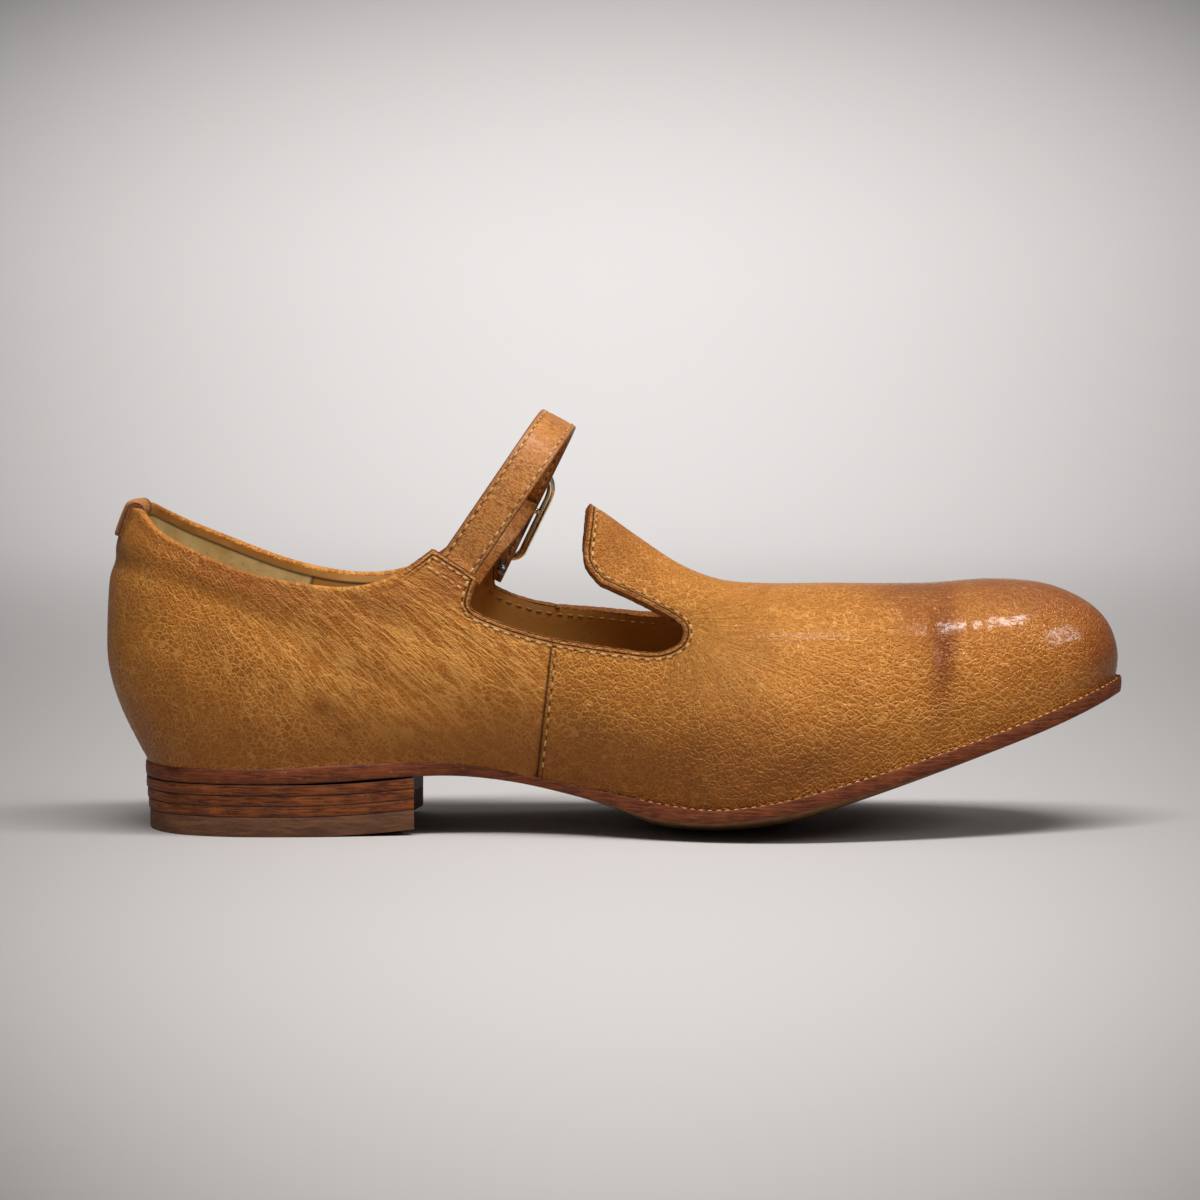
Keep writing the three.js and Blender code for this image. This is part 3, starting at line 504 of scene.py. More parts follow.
def piece(name, points, faces, finish, slot, replaced=(), values=(), flip=False):
    """A finished piece from points in millimetres, riding on the shoe's one body."""
    mesh = bpy.data.meshes.new(name)
    if flip:
        faces = [face[::-1] for face in faces]
    mesh.from_pydata(to_frame(points), [], faces)
    mesh.polygons.foreach_set("use_smooth", np.ones(len(mesh.polygons), bool))
    for key, value in dict(values).items():
        value = np.asarray(value, np.float32)
        kind, field = ("FLOAT", "value") if value.ndim == 1 else ("FLOAT_VECTOR", "vector")
        mesh.attributes.new(key, kind, "POINT").data.foreach_set(field, value.ravel())
    mesh.update()
    made = bpy.data.objects.new(name, mesh)
    bpy.context.scene.collection.objects.link(made)
    mesh.materials.append(finish.material)
    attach(made, "root")
    if replaced:
        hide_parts(*replaced)
    return made


def tube(centres, radius, sides, closed=False, up=(0, 0, 1)):
    """A round tube on a line of points, with flat ends unless it is closed."""
    centres = np.asarray(centres, float)
    if closed:
        forward = unit(np.roll(centres, -1, 0) - np.roll(centres, 1, 0))
    else:
        forward = unit(np.gradient(centres, axis=0))
    side = unit(np.cross(forward, np.broadcast_to(np.asarray(up, float), forward.shape)))
    top = np.cross(side, forward)
    radius = np.broadcast_to(np.asarray(radius, float), len(centres))[:, None, None]
    angle = np.linspace(0, 2 * math.pi, sides, endpoint=False)
    ring = np.cos(angle)[None, :, None] * side[:, None] + np.sin(angle)[None, :, None] * top[:, None]
    points = (centres[:, None] + radius * ring).reshape(-1, 3)
    faces = grid_faces(len(centres), sides, wrap_rows=closed, wrap_cols=True)
    if not closed:
        faces.append(list(range(sides)))
        faces.append(list(range((len(centres) - 1) * sides, len(centres) * sides))[::-1])
    return points, faces


def join_parts(parts):
    """Several (points, faces) as one mesh."""
    points, faces, start = [], [], 0
    for part_points, part_faces in parts:
        points.append(part_points)
        faces.extend([[v + start for v in face] for face in part_faces])
        start += len(part_points)
    return np.vstack(points), faces


def vertex_normals(points, triangles):
    a, b, c = (points[triangles[:, k]] for k in range(3))
    face = np.cross(b - a, c - a)
    out = np.zeros_like(points)
    for k in range(3):
        np.add.at(out, triangles[:, k], face)
    return unit(out)


def inside_loop(points, loop):
    """True for each plan point that lies inside a closed loop."""
    x, y = points[:, 0], points[:, 1]
    inside = np.zeros(len(points), bool)
    a, b = loop, np.roll(loop, -1, 0)
    for (ax, ay), (bx, by) in zip(a, b):
        if ay == by:
            continue
        cross = (ay > y) != (by > y)
        inside ^= cross & (x < (bx - ax) * (y - ay) / (by - ay) + ax)
    return inside


def nearest(points, targets, chunk=2000):
    """Distance from each point to the nearest target, and which it is."""
    gaps, which = [], []
    for start in range(0, len(points), chunk):
        block = np.linalg.norm(points[start:start + chunk, None] - targets[None], axis=2)
        which.append(block.argmin(1))
        gaps.append(block.min(1))
    return np.concatenate(gaps), np.concatenate(which)


# ---- the skin's net ----


def skin_net(pitch, seam_lines=()):
    """Ribs, shares and triangles of an even net over the last, outside the opening."""
    open_p, open_s, _ = OPENING
    open_flat = LAST.flat(open_p, open_s)
    foot_line = outside(LAST.p, np.zeros(LAST.ribs))
    _, foot_p = resample(np.vstack([foot_line, foot_line[:1]]), pitch, (np.append(LAST.p, LOOP),))
    foot_p = foot_p[:-1]
    foot_s = np.zeros(len(foot_p))
    ridge_x = np.arange(open_ridge_x() + pitch, RIBS["ridge"].max() - 0.2, pitch)
    ridge_p = np.interp(ridge_x, rib(INNER_EDGE, "ridge"), INNER_EDGE)
    ring_p, ring_s = [ridge_p], [np.ones(len(ridge_p))]
    for line_p, line_s in seam_lines:
        ring_p.append(line_p)
        ring_s.append(line_s)
    fixed = len(np.concatenate(ring_p))
    heights = np.arange(1, int(LAST.total.max() / (pitch * 0.87)) + 1) * pitch * 0.87
    shares = np.array([np.interp(heights, LAST.climb[i], LAST.s, right=np.nan) for i in range(LAST.ribs)])
    for k in range(len(heights)):
        share = np.append(shares[:, k], shares[0, k])
        p = np.append(LAST.p, LOOP)
        valid = ~np.isnan(share)
        if valid.sum() < 3:
            continue
        points = outside(p, np.where(valid, share, 1))
        step = np.linalg.norm(np.diff(points, axis=0), axis=1) * (valid[1:] & valid[:-1])
        run = np.concatenate([[0], np.cumsum(step)])
        count = int(run[-1] / pitch)
        if count < 3:
            continue
        at = (np.arange(count) + 0.5 * (k % 2)) * run[-1] / count
        new_p = np.interp(at, run, p)
        new_s = np.interp(new_p, p, np.where(valid, share, 1))
        ring_p.append(new_p)
        ring_s.append(new_s)
    inner_p, inner_s = np.concatenate(ring_p), np.concatenate(ring_s)
    flat = LAST.flat(inner_p, inner_s)
    solid = outside(inner_p, inner_s)
    seam_solid = solid[:fixed]
    keep = ~inside_loop(flat, open_flat)
    gap, _ = nearest(solid, outside(open_p, open_s))
    keep &= gap > 0.62 * pitch
    if fixed:
        from_seam, _ = nearest(solid, seam_solid)
        from_seam[:fixed] = pitch
        keep &= from_seam > 0.55 * pitch
    inner_p, inner_s, flat = inner_p[keep], inner_s[keep], flat[keep]
    p = np.concatenate([foot_p, open_p, inner_p])
    s = np.concatenate([foot_s, open_s, inner_s])
    foot_flat = LAST.flat(foot_p, foot_s)
    plan = np.vstack([foot_flat, open_flat, flat])
    n, m = len(foot_p), len(open_p)
    edges = [(i, (i + 1) % n) for i in range(n)] + [(n + i, n + (i + 1) % m) for i in range(m)]
    made = delaunay_2d_cdt([Vector(v) for v in plan], edges, [], 0, 1e-6)
    source = np.array([ids[0] if ids else -1 for ids in made[3]])
    triangles = source[np.array(made[2])]
    triangles = triangles[(triangles >= 0).all(1)]
    rim_only = (triangles < n + m).all(1)
    centre = plan[triangles[rim_only]].mean(1)
    good = inside_loop(centre, foot_flat) & ~inside_loop(centre, open_flat)
    keep = np.ones(len(triangles), bool)
    keep[np.where(rim_only)[0]] = good
    triangles = triangles[keep]
    solid = outside(p, s)
    probe = triangles[len(triangles) // 2]
    face = np.cross(solid[probe[1]] - solid[probe[0]], solid[probe[2]] - solid[probe[0]])
    if face @ wall_normal(p[probe[:1]], s[probe[:1]])[0] < 0:
        triangles = triangles[:, ::-1]
    return {"p": p, "s": s, "plan": plan, "triangles": triangles, "foot": n, "opening": m}


def open_ridge_x():
    """Where the tongue's edge crosses the ridge."""
    p, s, _ = OPENING
    return outside(p, s)[np.argmax(s), 0]


def skin_facts(net):
    """What the finish and the relief need at each point of a net."""
    p, s = net["p"], net["s"]
    base = outside(p, s)
    normal = vertex_normals(base, net["triangles"])
    rim = slice(net["foot"], net["foot"] + net["opening"])
    normal[rim] = wall_normal(p[rim], s[rim])
    rim_gap, _ = nearest(base, base[rim])
    side = np.where(np.mod(p, LOOP) < TOE, -1.0, 1.0)
    return {"base": base, "normal": normal, "rim_gap": rim_gap, "side": side, "climb": LAST.climb_at(p, s),
            "flat": net["plan"]}


# ---- creases, burnish and painted shade, placed in side view ----

# side -1 inner, 1 outer, 0 both; three points of the crease; its spread; depth, with ridges below 0
CREASES = [
    (0, [(-2, 69.5), (5, 68.6), (14, 66.5)], 2.6, 0.9),
    (-1, [(3, 75), (20, 71), (40, 62.5)], 3.2, -0.5),
    (-1, [(14, 66), (30, 61), (52, 52)], 2.6, 0.35),
    (-1, [(30, 58), (55, 47), (76, 36)], 4.0, 0.35),
    (-1, [(45, 63), (62, 51), (84, 38)], 3.0, -0.3),
    (-1, [(58, 63), (74, 55), (92, 46)], 2.2, 0.35),
    (-1, [(66, 64), (82, 58), (98, 52)], 1.6, -0.25),
    (-1, [(70, 34), (88, 28), (108, 22)], 5.0, -0.35),
    (-1, [(152, 50), (168, 44), (182, 36)], 3.5, 0.35),
    (-1, [(151, 54), (170, 53), (190, 50)], 3.0, -0.25),
    (-1, [(148, 46), (156, 38), (166, 28)], 3.2, 0.3),
    (0, [(212.5, 60), (213.5, 50), (215.5, 36)], 1.7, 0.75),
    (0, [(218.5, 58), (219.5, 50), (220.5, 40)], 1.8, -0.45),
    (0, [(208, 58), (208, 49), (209, 38)], 2.2, -0.3),
    (0, [(224, 60), (226, 54), (228, 47)], 1.6, 0.22),
    (1, [(20, 66), (45, 56), (72, 44)], 3.4, 0.4),
    (1, [(60, 60), (84, 52), (104, 44)], 2.6, -0.35),
    (1, [(152, 54), (172, 48), (194, 40)], 3.6, 0.35),
    (1, [(120, 44), (132, 34), (150, 26)], 4.0, 0.3),
]

# side, x, z, half length, half height, tilt in degrees, burnish and painted shade, red, gloss
PATCHES = [
    (-1, 57.5, 33.0, 3.4, 2.6, 0, 0.55, 0.0, 0.0),
    (-1, 63.5, 27.5, 3.0, 2.0, -30, 0.35, 0.0, 0.0),
    (-1, 38, 64.5, 26, 5.5, -22, 0.4, 0.5, 0.0),
    (-1, 75, 60, 13, 5, 10, 0.35, 0.35, 0.0),
    (0, 90, 66, 9, 6, -34, 0.5, 0.45, 0.0),
    (0, 0, 45, 5, 34, 0, 0.1, 0.3, 0.3),
    (0, 1, 74, 8, 6, 0, 0.25, 0.35, 0.2),
    # painted shade low on the inner side near the ball, where the upper turns under
    (-1, 175, 18, 17, 5, 24, 0.5, 0.2, 0.0),
    (-1, 158, 26, 14, 6, 20, 0.3, 0.1, 0.0),
    # the toe crease's dark band: burnish with painted shade in its trough
    (0, 214, 48, 3.0, 13, -4, 0.85, 0.9, 0.3),
    (0, 210, 56, 8, 9, -4, 0.3, 0.5, 0.3),
    (0, 220, 47, 5.0, 8, -6, 0.0, 0.0, 1.0),
    (0, 205, 62, 10, 5, 0, 0.35, 0.4, 0.3),
    (0, 258, 46, 9, 13, 0, 0.55, 0.9, 0.7),
    (0, 240, 61, 28, 6, -8, 0.42, 0.75, 0.95),
    (0, 238, 46, 22, 16, 0, 0.08, 0.4, 0.95),
    (0, 190, 58, 34, 12, 0, 0.0, 0.0, 0.35),
    (0, 130, 74, 8, 10, -50, 0.25, 0.3, 0.0),
    # painted shade, darker towards the bottom along the inner side
    (-1, 60, 18, 90, 13, 0, 0.5, 0.1, 0.0),
    (-1, 150, 14, 60, 13, 6, 0.55, 0.15, 0.0),
    (0, 262, 42, 5, 18, 0, 0.35, 0.8, 0.6),
    (-1, 178, 44, 24, 12, -4, 0.0, 0.0, 0.6),
    # painted shade, darker towards the bottom on the inner and the outer side
    (-1, 128, 26, 36, 15, 0, 0.28, 0.0, 0.0),
    (1, 70, 34, 12, 8, 0, 0.3, 0.1, 0.0),
    (1, 180, 24, 22, 6, 20, 0.4, 0.2, 0.0),
]


def near_line(x, z, line):
    """Distance to a side-view line, and how far along it from 0 to 1."""
    line = spline(line, 8)
    best, at = np.full(len(x), np.inf), np.zeros(len(x))
    for k, (a, b) in enumerate(zip(line, line[1:])):
        step = b - a
        t = np.clip(((x - a[0]) * step[0] + (z - a[1]) * step[1]) / (step @ step), 0, 1)
        gap = np.hypot(x - a[0] - step[0] * t, z - a[1] - step[1] * t)
        closer = gap < best
        best, at = np.where(closer, gap, best), np.where(closer, (k + t) / (len(line) - 1), at)
    return best, at


SIDE_MIDDLE = -4.0  # where the inner side meets the outer side, across the shoe


def of_side(side, facts):
    """1 on a crease's or patch's side, fading out over the ridge."""
    if side == 0:
        return np.ones(len(facts["side"]))
    return smooth(facts["side"] * side * np.abs(facts["base"][:, 1] - SIDE_MIDDLE), -6, 10)


def relief(facts):
    """How far the worn skin stands off the last, in millimetres."""
    x, z = facts["base"][:, 0], facts["base"][:, 2]
    flat = facts["flat"]
    out = np.zeros(len(x))
    for side, line, width, depth in CREASES:
        gap, at = near_line(x, z, line)
        taper = np.sin(math.pi * np.clip(0.08 + 0.84 * at, 0, 1))
        out -= depth * np.exp(-((gap / width) ** 2)) * taper * of_side(side, facts)
    waves = (
        np.sin(flat[:, 0] / 8.5 + 1.3 * np.sin(flat[:, 1] / 15)) * np.sin(flat[:, 1] / 7.2 + 0.8)
        + 0.6 * np.sin(flat[:, 0] / 4.6 + flat[:, 1] / 6.1 + 2) * np.sin(flat[:, 1] / 4.9 - flat[:, 0] / 9)
    )
    out += 0.1 * waves
    held = smooth(facts["rim_gap"], 0, 5) * smooth(facts["climb"], 0.0, 3.0)
    seam = seam_gap(facts)
    lap = 0.35 * smooth(-seam, -0.2, 1.4) * hump(seam, 0, 9) - 0.6 * hump(seam, 0, 0.5)
    channel = -0.16 * hump(facts["rim_gap"], EDGE_ROW, 0.7)
    return out * held + lap + channel


EDGE_ROW = 1.8  # stitch row's distance from the cut edge
STRAP_ROW = STRAP["width"] / 2 - 1.3  # stitch row's distance from the strap's middle
SEAM = {"top": (115.2, 50), "bottom": (111.6, 17.5)}
SEAM_RIM = {-1: 50.6, 1: 55.6}  # height at which each side's seam meets the cut edge
SEAM_SEWN_TO = {-1: 46.5, 1: 53.0}  # height at which each side's seam stitches end
SEAM_ROW = 1.3  # stitch row's distance ahead of the side seam


def seam_x(z):
    """How far along the side seam is at each height, in side view."""
    (x0, z0), (x1, z1) = SEAM["top"], SEAM["bottom"]
    return x1 + (x0 - x1) * (z - z1) / (z0 - z1)


def seam_gap(facts):
    """Signed distance ahead of the side seam, in side view."""
    return facts["base"][:, 0] - seam_x(facts["base"][:, 2])


def seam_lines(pitch, offsets):
    """Extra points in the net along each side seam."""
    lines = []
    for side in (-1, 1):
        z = np.arange(SEAM["bottom"][1] + 0.5, SEAM_RIM[side] - 0.6, pitch)
        for offset in offsets:
            lines.append(LAST.place(side, seam_x(z) + offset, z))
    return lines


def paint(facts):
    """The hand burnish and the painted shade, redness and gloss over the skin, from 0 to 1."""
    x, z = facts["base"][:, 0], facts["base"][:, 2]
    out = {"burnish_and_shade": np.zeros(len(x)), "red": np.zeros(len(x)), "gloss": np.zeros(len(x))}
    for side, px, pz, long, high, tilt, *amounts in PATCHES:
        turn = math.radians(tilt)
        u = (x - px) * math.cos(turn) + (z - pz) * math.sin(turn)
        v = (z - pz) * math.cos(turn) - (x - px) * math.sin(turn)
        mask = np.exp(-((u / long) ** 2) - (v / high) ** 2) * of_side(side, facts)
        for key, amount in zip(out, amounts):
            out[key] = 1 - (1 - out[key]) * (1 - np.clip(amount * mask, 0, 1))
    return out


# Where the drag lines of the skin fan out from, in side view, behind and ahead of the side seam.
FANS = {"quarter": (6, 78), "vamp": (146, 56)}
FAN_REACH = 45.0
FAN_SPLIT = 40  # keeps the two sides' drag lines from being mirror images


def fan(facts):
    """Grain coordinates: distance from the fan's centre, and the turn about it, in millimetres."""
    flat = facts["flat"]
    out = np.zeros((len(flat), 3))
    ahead = seam_gap(facts) > 0
    for side in (-1, 1):
        here = facts["side"] == side
        for part, region in (("quarter", ~ahead), ("vamp", ahead)):
            p, s = LAST.place(side, *[[v] for v in FANS[part]])
            centre = LAST.flat(p, s)[0]
            mask = here & region
            gap = flat[mask] - centre
            out[mask, 0] = np.hypot(*gap.T)
            out[mask, 1] = np.arctan2(gap[:, 1] * side, gap[:, 0]) * FAN_REACH
            out[mask, 2] = side * FAN_SPLIT
    return out


# ---- stitches ----

STITCH = {"fill": 0.62, "sides": 8}


def stitches(rows):
    """Short threads lying on the leather: rows are (starts, ends, normals, radius), in millimetres."""
    parts, hole_shade = [], []
    u = np.array([0.0, 0.1, 0.28, 0.5, 0.72, 0.9, 1.0])
    swell = np.array([0.45, 0.85, 1.0, 1.0, 1.0, 0.85, 0.45])
    lift = 0.55 * (1 - (2 * u - 1) ** 4) - 0.45
    angle = np.linspace(0, 2 * math.pi, STITCH["sides"], endpoint=False)
    for starts, ends, normals, radius in rows:
        step = ends - starts
        normal = unit(normals - unit(step) * (normals * unit(step)).sum(1, keepdims=True))
        side = np.cross(unit(step), normal)
        lifted = normal[:, None] * (lift * radius)[None, :, None]
        centre = starts[:, None] + step[:, None] * u[None, :, None] + lifted
        ring = (np.cos(angle)[None, None, :, None] * side[:, None, None]
                + 0.8 * np.sin(angle)[None, None, :, None] * normal[:, None, None])
        shell = centre[:, :, None] + ring * (radius * swell)[None, :, None, None]
        sides = STITCH["sides"]
        for one in shell:
            faces = grid_faces(len(u), sides, wrap_cols=True)
            faces += [list(range(sides)), list(range((len(u) - 1) * sides, len(u) * sides))[::-1]]
            parts.append((one.reshape(-1, 3), faces))
            # painted shade at each stitch's two ends, where the thread goes into its holes
            hole_shade.append(np.repeat(np.abs(2 * u - 1) ** 6, sides))
    points, faces = join_parts(parts)
    return points, faces, np.concatenate(hole_shade)


def stitch_row(line, normals, pitch, radius):
    """Starts, ends, normals and radius of evenly spaced stitches on a line of points."""
    points, normal = resample(line, pitch / 6, (normals,))
    run = lengths(points)
    count = max(int(round(run[-1] / pitch)), 1)
    middle = (np.arange(count) + 0.5) * run[-1] / count
    half = pitch * STITCH["fill"] / 2

    def at(place, value):
        return np.stack([np.interp(place, run, value[:, k]) for k in range(3)], 1)

    return at(middle - half, points), at(middle + half, points), at(middle, normal), radius


# ---- shader helpers ----


class Wire:
    """A socket in a finish's node tree; sums and products of it add Math nodes."""

    def __init__(self, finish, socket):
        self.finish, self.socket = finish, socket

    def maths(self, operation, *values, clamp=False):
        return self.finish.node("ShaderNodeMath", {"operation": operation, "use_clamp": clamp},
                                dict(enumerate(values)))

    def __add__(self, other):
        return self.maths("ADD", self, other)

    def __radd__(self, other):
        return self.maths("ADD", other, self)

    def __sub__(self, other):
        return self.maths("SUBTRACT", self, other)

    def __rsub__(self, other):
        return self.maths("SUBTRACT", other, self)

    def __mul__(self, other):
        return self.maths("MULTIPLY", self, other)

    def __rmul__(self, other):
        return self.maths("MULTIPLY", other, self)

    def __abs__(self):
        return self.maths("ABSOLUTE", self)

    def at_least(self, low):
        return self.maths("MAXIMUM", self, low)

    def at_most(self, high):
        return self.maths("MINIMUM", self, high)

    def held(self):
        """The same value kept between 0 and 1."""
        return self.maths("MULTIPLY", self, 1.0, clamp=True)

    def rise(self, low, high):
        """0 at low, 1 at high, with a soft start and end."""
        return self.finish.node("ShaderNodeMapRange", {"interpolation_type": "SMOOTHSTEP"},
                                {"Value": self, "From Min": low, "From Max": high})


class Finish:
    """A material, its node tree and its main shader."""

    def __init__(self, name, constants):
        self.material = bpy.data.materials.new(name)
        self.material.use_nodes = True
        self.tree = self.material.node_tree
        self.shader = self.tree.nodes["Principled BSDF"]
        for socket, value in constants.items():
            self.shader.inputs[socket].default_value = value

    def node(self, kind, settings=(), values=(), out=0):
        """One node: its settings are made first, then its sockets take their values or links."""
        made = self.tree.nodes.new(kind)
        for key, value in dict(settings).items():
            setattr(made, key, value)
        for key, value in dict(values).items():
            if isinstance(value, Wire):
                self.tree.links.new(value.socket, made.inputs[key])
            else:
                made.inputs[key].default_value = value
        return Wire(self, made.outputs[out])

    def set(self, socket, wire):
        self.tree.links.new(wire.socket, self.shader.inputs[socket])

    def place(self):
        """Position on the shoe in millimetres."""
        spot = self.node("ShaderNodeTexCoord", out="Object")
        return self.stretched(spot, (1 / MM, 1 / MM, 1 / MM))

    def stretched(self, vector, factors):
        return self.node("ShaderNodeVectorMath", {"operation": "MULTIPLY"}, {0: vector, 1: factors})

    def value(self, name):
        """A number stored on the piece's own points."""
        return self.node("ShaderNodeAttribute", {"attribute_name": name}, out="Fac")

    def vector(self, name):
        return self.node("ShaderNodeAttribute", {"attribute_name": name}, out="Vector")

    def noise(self, vector, size, detail=3.0, rough=0.55):
        values = {"Vector": vector, "Scale": 1 / size, "Detail": detail, "Roughness": rough}
        return self.node("ShaderNodeTexNoise", {}, values)

    def cells(self, vector, size):
        """Distance from the borders of irregular cells."""
        return self.node("ShaderNodeTexVoronoi", {"feature": "DISTANCE_TO_EDGE"},
                         {"Vector": vector, "Scale": 1 / size})

    def parts(self, vector):
        """A vector's x, y and z."""
        apart = self.node("ShaderNodeSeparateXYZ", {}, {0: vector}).socket.node
        return [Wire(self, socket) for socket in apart.outputs]

    def bent(self, vector, size, amount):
        """The same position pushed about by soft noise, in millimetres."""
        values = {"Vector": vector, "Scale": 1 / size, "Detail": 2.0}
        wander = self.node("ShaderNodeTexNoise", {}, values, out="Color")
        half = (0.5, 0.5, 0.5)
        centred = self.node("ShaderNodeVectorMath", {"operation": "SUBTRACT"}, {0: wander, 1: half})
        scaled = self.node("ShaderNodeVectorMath", {"operation": "SCALE"}, {0: centred, "Scale": amount * 2})
        return self.node("ShaderNodeVectorMath", {"operation": "ADD"}, {0: vector, 1: scaled})

    def mix(self, a, b, factor):
        """A blend of two colours."""
        a, b = ((*c, 1.0) if isinstance(c, tuple) else c for c in (a, b))
        return self.node("ShaderNodeMix", {"data_type": "RGBA"}, {0: factor, 6: a, 7: b}, out=2)

    def bump(self, height, depth, strength=1.0, over=None):
        """Normals from a height of 0 to 1 that stands depth millimetres high."""
        values = {"Height": height, "Distance": depth * MM, "Strength": strength}
        if over is not None:
            values["Normal"] = over
        return self.node("ShaderNodeBump", {}, values)


def tint(code):
    """A colour's linear red, green and blue from its usual six-digit code."""
    parts = [int(code[i:i + 2], 16) / 255 for i in (0, 2, 4)]
    return tuple(c / 12.92 if c <= 0.04045 else ((c + 0.055) / 1.055) ** 2.4 for c in parts)


# ---- finishes ----


def hill(value, centre, width):
    """1 at the centre, falling to 0 at width either side."""
    return 1 - abs(value - centre).rise(0.0, width)


def skin_leather(look):
    """Tan hand-burnished leather: a net of light veins, drag lines, worn gloss, a dark cut edge, and painted
    shade low on the sides and at the stitch rows.
    """
    f = Finish("Burnished tan leather", {"Specular IOR Level": 0.5, "Specular Tint": (1.0, 0.6, 0.3, 1.0),
                                         "Coat Roughness": 0.1, "Coat IOR": 1.5})
    place = f.place()
    fan = f.vector("fan")
    burnish_and_shade, red, gloss = f.value("burnish_and_shade"), f.value("red"), f.value("gloss")
    vamp, drag = f.value("vamp"), f.value("drag")

    soft = f.bent(place, 4.5, 1.2)
    fine = f.bent(place, 1.5, 0.5)
    # drag lines: long thin ridges that fan out of the throat and the collar, with darker hollows beside them
    lines = f.noise(f.bent(f.stretched(fan, (0.08, 1.0, 1.0)), 2.6, 0.9), 0.95, 3.0, 0.6)
    line_veins = (1 - abs(lines - 0.5) * 2.0).rise(0.88, 0.99)
    hollows = lines.rise(0.58, 0.66)
    broad = f.noise(f.bent(f.stretched(fan, (0.14, 1.0, 1.0)), 4.5, 1.2), 2.0, 2.0, 0.5)
    broad_veins = (1 - abs(broad - 0.5) * 2.0).rise(0.9, 0.99)
    # net of veins round irregular cells
    net = 1 - f.cells(soft, 1.55).rise(0.02, 0.15)
    small_net = 1 - f.cells(fine, 0.9).rise(0.02, 0.2)
    patchy = f.noise(place, 9.0, 2.0).rise(0.4, 0.62)
    veins = (net * (0.35 + 0.65 * patchy) * (1 - drag * 0.55) + small_net * 0.4 * (1 - patchy * 0.5)
             + line_veins * drag * 0.9 + broad_veins * (0.2 + drag * 0.6)).held()

    cloud = f.noise(place, 26.0, 3.0, 0.6).rise(0.34, 0.68)
    mottle = f.noise(soft, 4.2, 4.0, 0.65).rise(0.3, 0.72)
    speck = f.noise(place, 0.5, 2.0, 0.6)
    base = f.mix(tuple(look.leather_deep), tuple(look.leather), (mottle * 0.45 + cloud * 0.25 + 0.25).held())
    base = f.mix(base, tuple(look.leather_light), (cloud * 0.25 + vamp * 0.12).held())
    base = f.mix(base, tuple(look.burnish_and_shade), (hollows * drag * 0.14 + (1 - net) * mottle * vamp * 0.1).held())
    base = f.mix(base, tuple(look.vein), veins * (0.72 - burnish_and_shade * 0.4))
    # real burnish on the toe, the heel and the crease, and painted shade low on the sides
    base = f.mix(base, tuple(look.burnish_and_shade), (burnish_and_shade * (0.72 + mottle * 0.3)).held())
    base = f.mix(base, tuple(look.oxblood), (red * (0.42 + cloud * 0.25)).held())
    base = f.mix(base, tuple(look.leather_deep), (speck.rise(0.56, 0.75) * 0.35).held())
    edge = f.value("edge")
    fibres = f.noise(f.stretched(f.vector("rim_place"), (0.12, 1.0, 1.0)), 0.35, 3.0, 0.7)
    edge_colour = f.mix(tint("55290f"), tint("a8682f"), fibres.rise(0.35, 0.7))
    base = f.mix(base, edge_colour, edge)
    rim_gap, raw = f.value("rim_gap"), f.value("raw")
    # a rubbed band along the cut edges, with a dark line at each border, and a scuffed line under the roll
    rubbed = (1 - rim_gap.rise(0.8, 1.05)) * raw * (1 - edge)
    strands = f.noise(f.stretched(f.bent(place, 4.0, 0.4), (0.18, 0.4, 1.0)), 0.42, 3.0, 0.7).rise(0.38, 0.66)
    band = f.mix(tint("8e4e20"), tint("c98a4a"), strands)
    base = f.mix(base, band, (rubbed * 0.9).held())
    border = (hill(rim_gap, 1.0, 0.35) + hill(rim_gap, 0.0, 0.3) * 0.6) * raw * (1 - edge)
    base = f.mix(base, tint("351609"), border.held())
    # painted shade: dark lines along the edge's stitch row, along the side seam's stitch row and in the side
    # seam's groove stand in for the shade of the holes and the seam
    sewn, sewing = f.value("sewn"), f.value("sewing")
    holes = hill(rim_gap, EDGE_ROW, 0.42) * raw * (1 - edge) + hill(sewn, 0.0, 0.4) * sewing
    holes = holes + hill(sewn, -SEAM_ROW, 0.5) * sewing
    base = f.mix(base, tint("2a1108"), (holes * 0.85).held())
    scuffed = hill(rim_gap, 2.0, 1.3) * (1 - raw) * f.noise(place, 3.0, 3.0, 0.6).rise(0.38, 0.6)
    base = f.mix(base, tint("7c3a1e"), (scuffed * 0.45).held())
    f.set("Base Color", base)

    f.set("Roughness", (0.46 - gloss * 0.3 + mottle * 0.08 - veins * 0.1 + edge * 0.2).held())
    # the worn gloss is broken up by the grain
    broken = f.noise(f.bent(f.stretched(place, (0.5, 1.0, 1.0)), 3.0, 1.0), 0.9, 3.0, 0.6).rise(0.44, 0.56)
    f.set("Coat Weight", (gloss.rise(0.4, 1.0) * (0.2 + broken * 0.8) * 0.8).held())

    pebble = f.cells(soft, 1.55).rise(0.0, 0.2)
    pores = f.noise(place, 0.42, 2.0, 0.6)
    height = (pebble * (0.3 + vamp * 0.3) * (1 - drag * 0.5) * (1 - gloss * 0.5)
              + f.cells(fine, 0.9).rise(0.0, 0.25) * 0.2
              + line_veins * drag * 0.35 + broad_veins * 0.3 + mottle * 0.3
              - border.held() * 0.9)
    normal = f.bump(height, 0.36)
    normal = f.bump(pores, 0.03, 0.7, over=normal)
    f.set("Normal", normal)
    return f


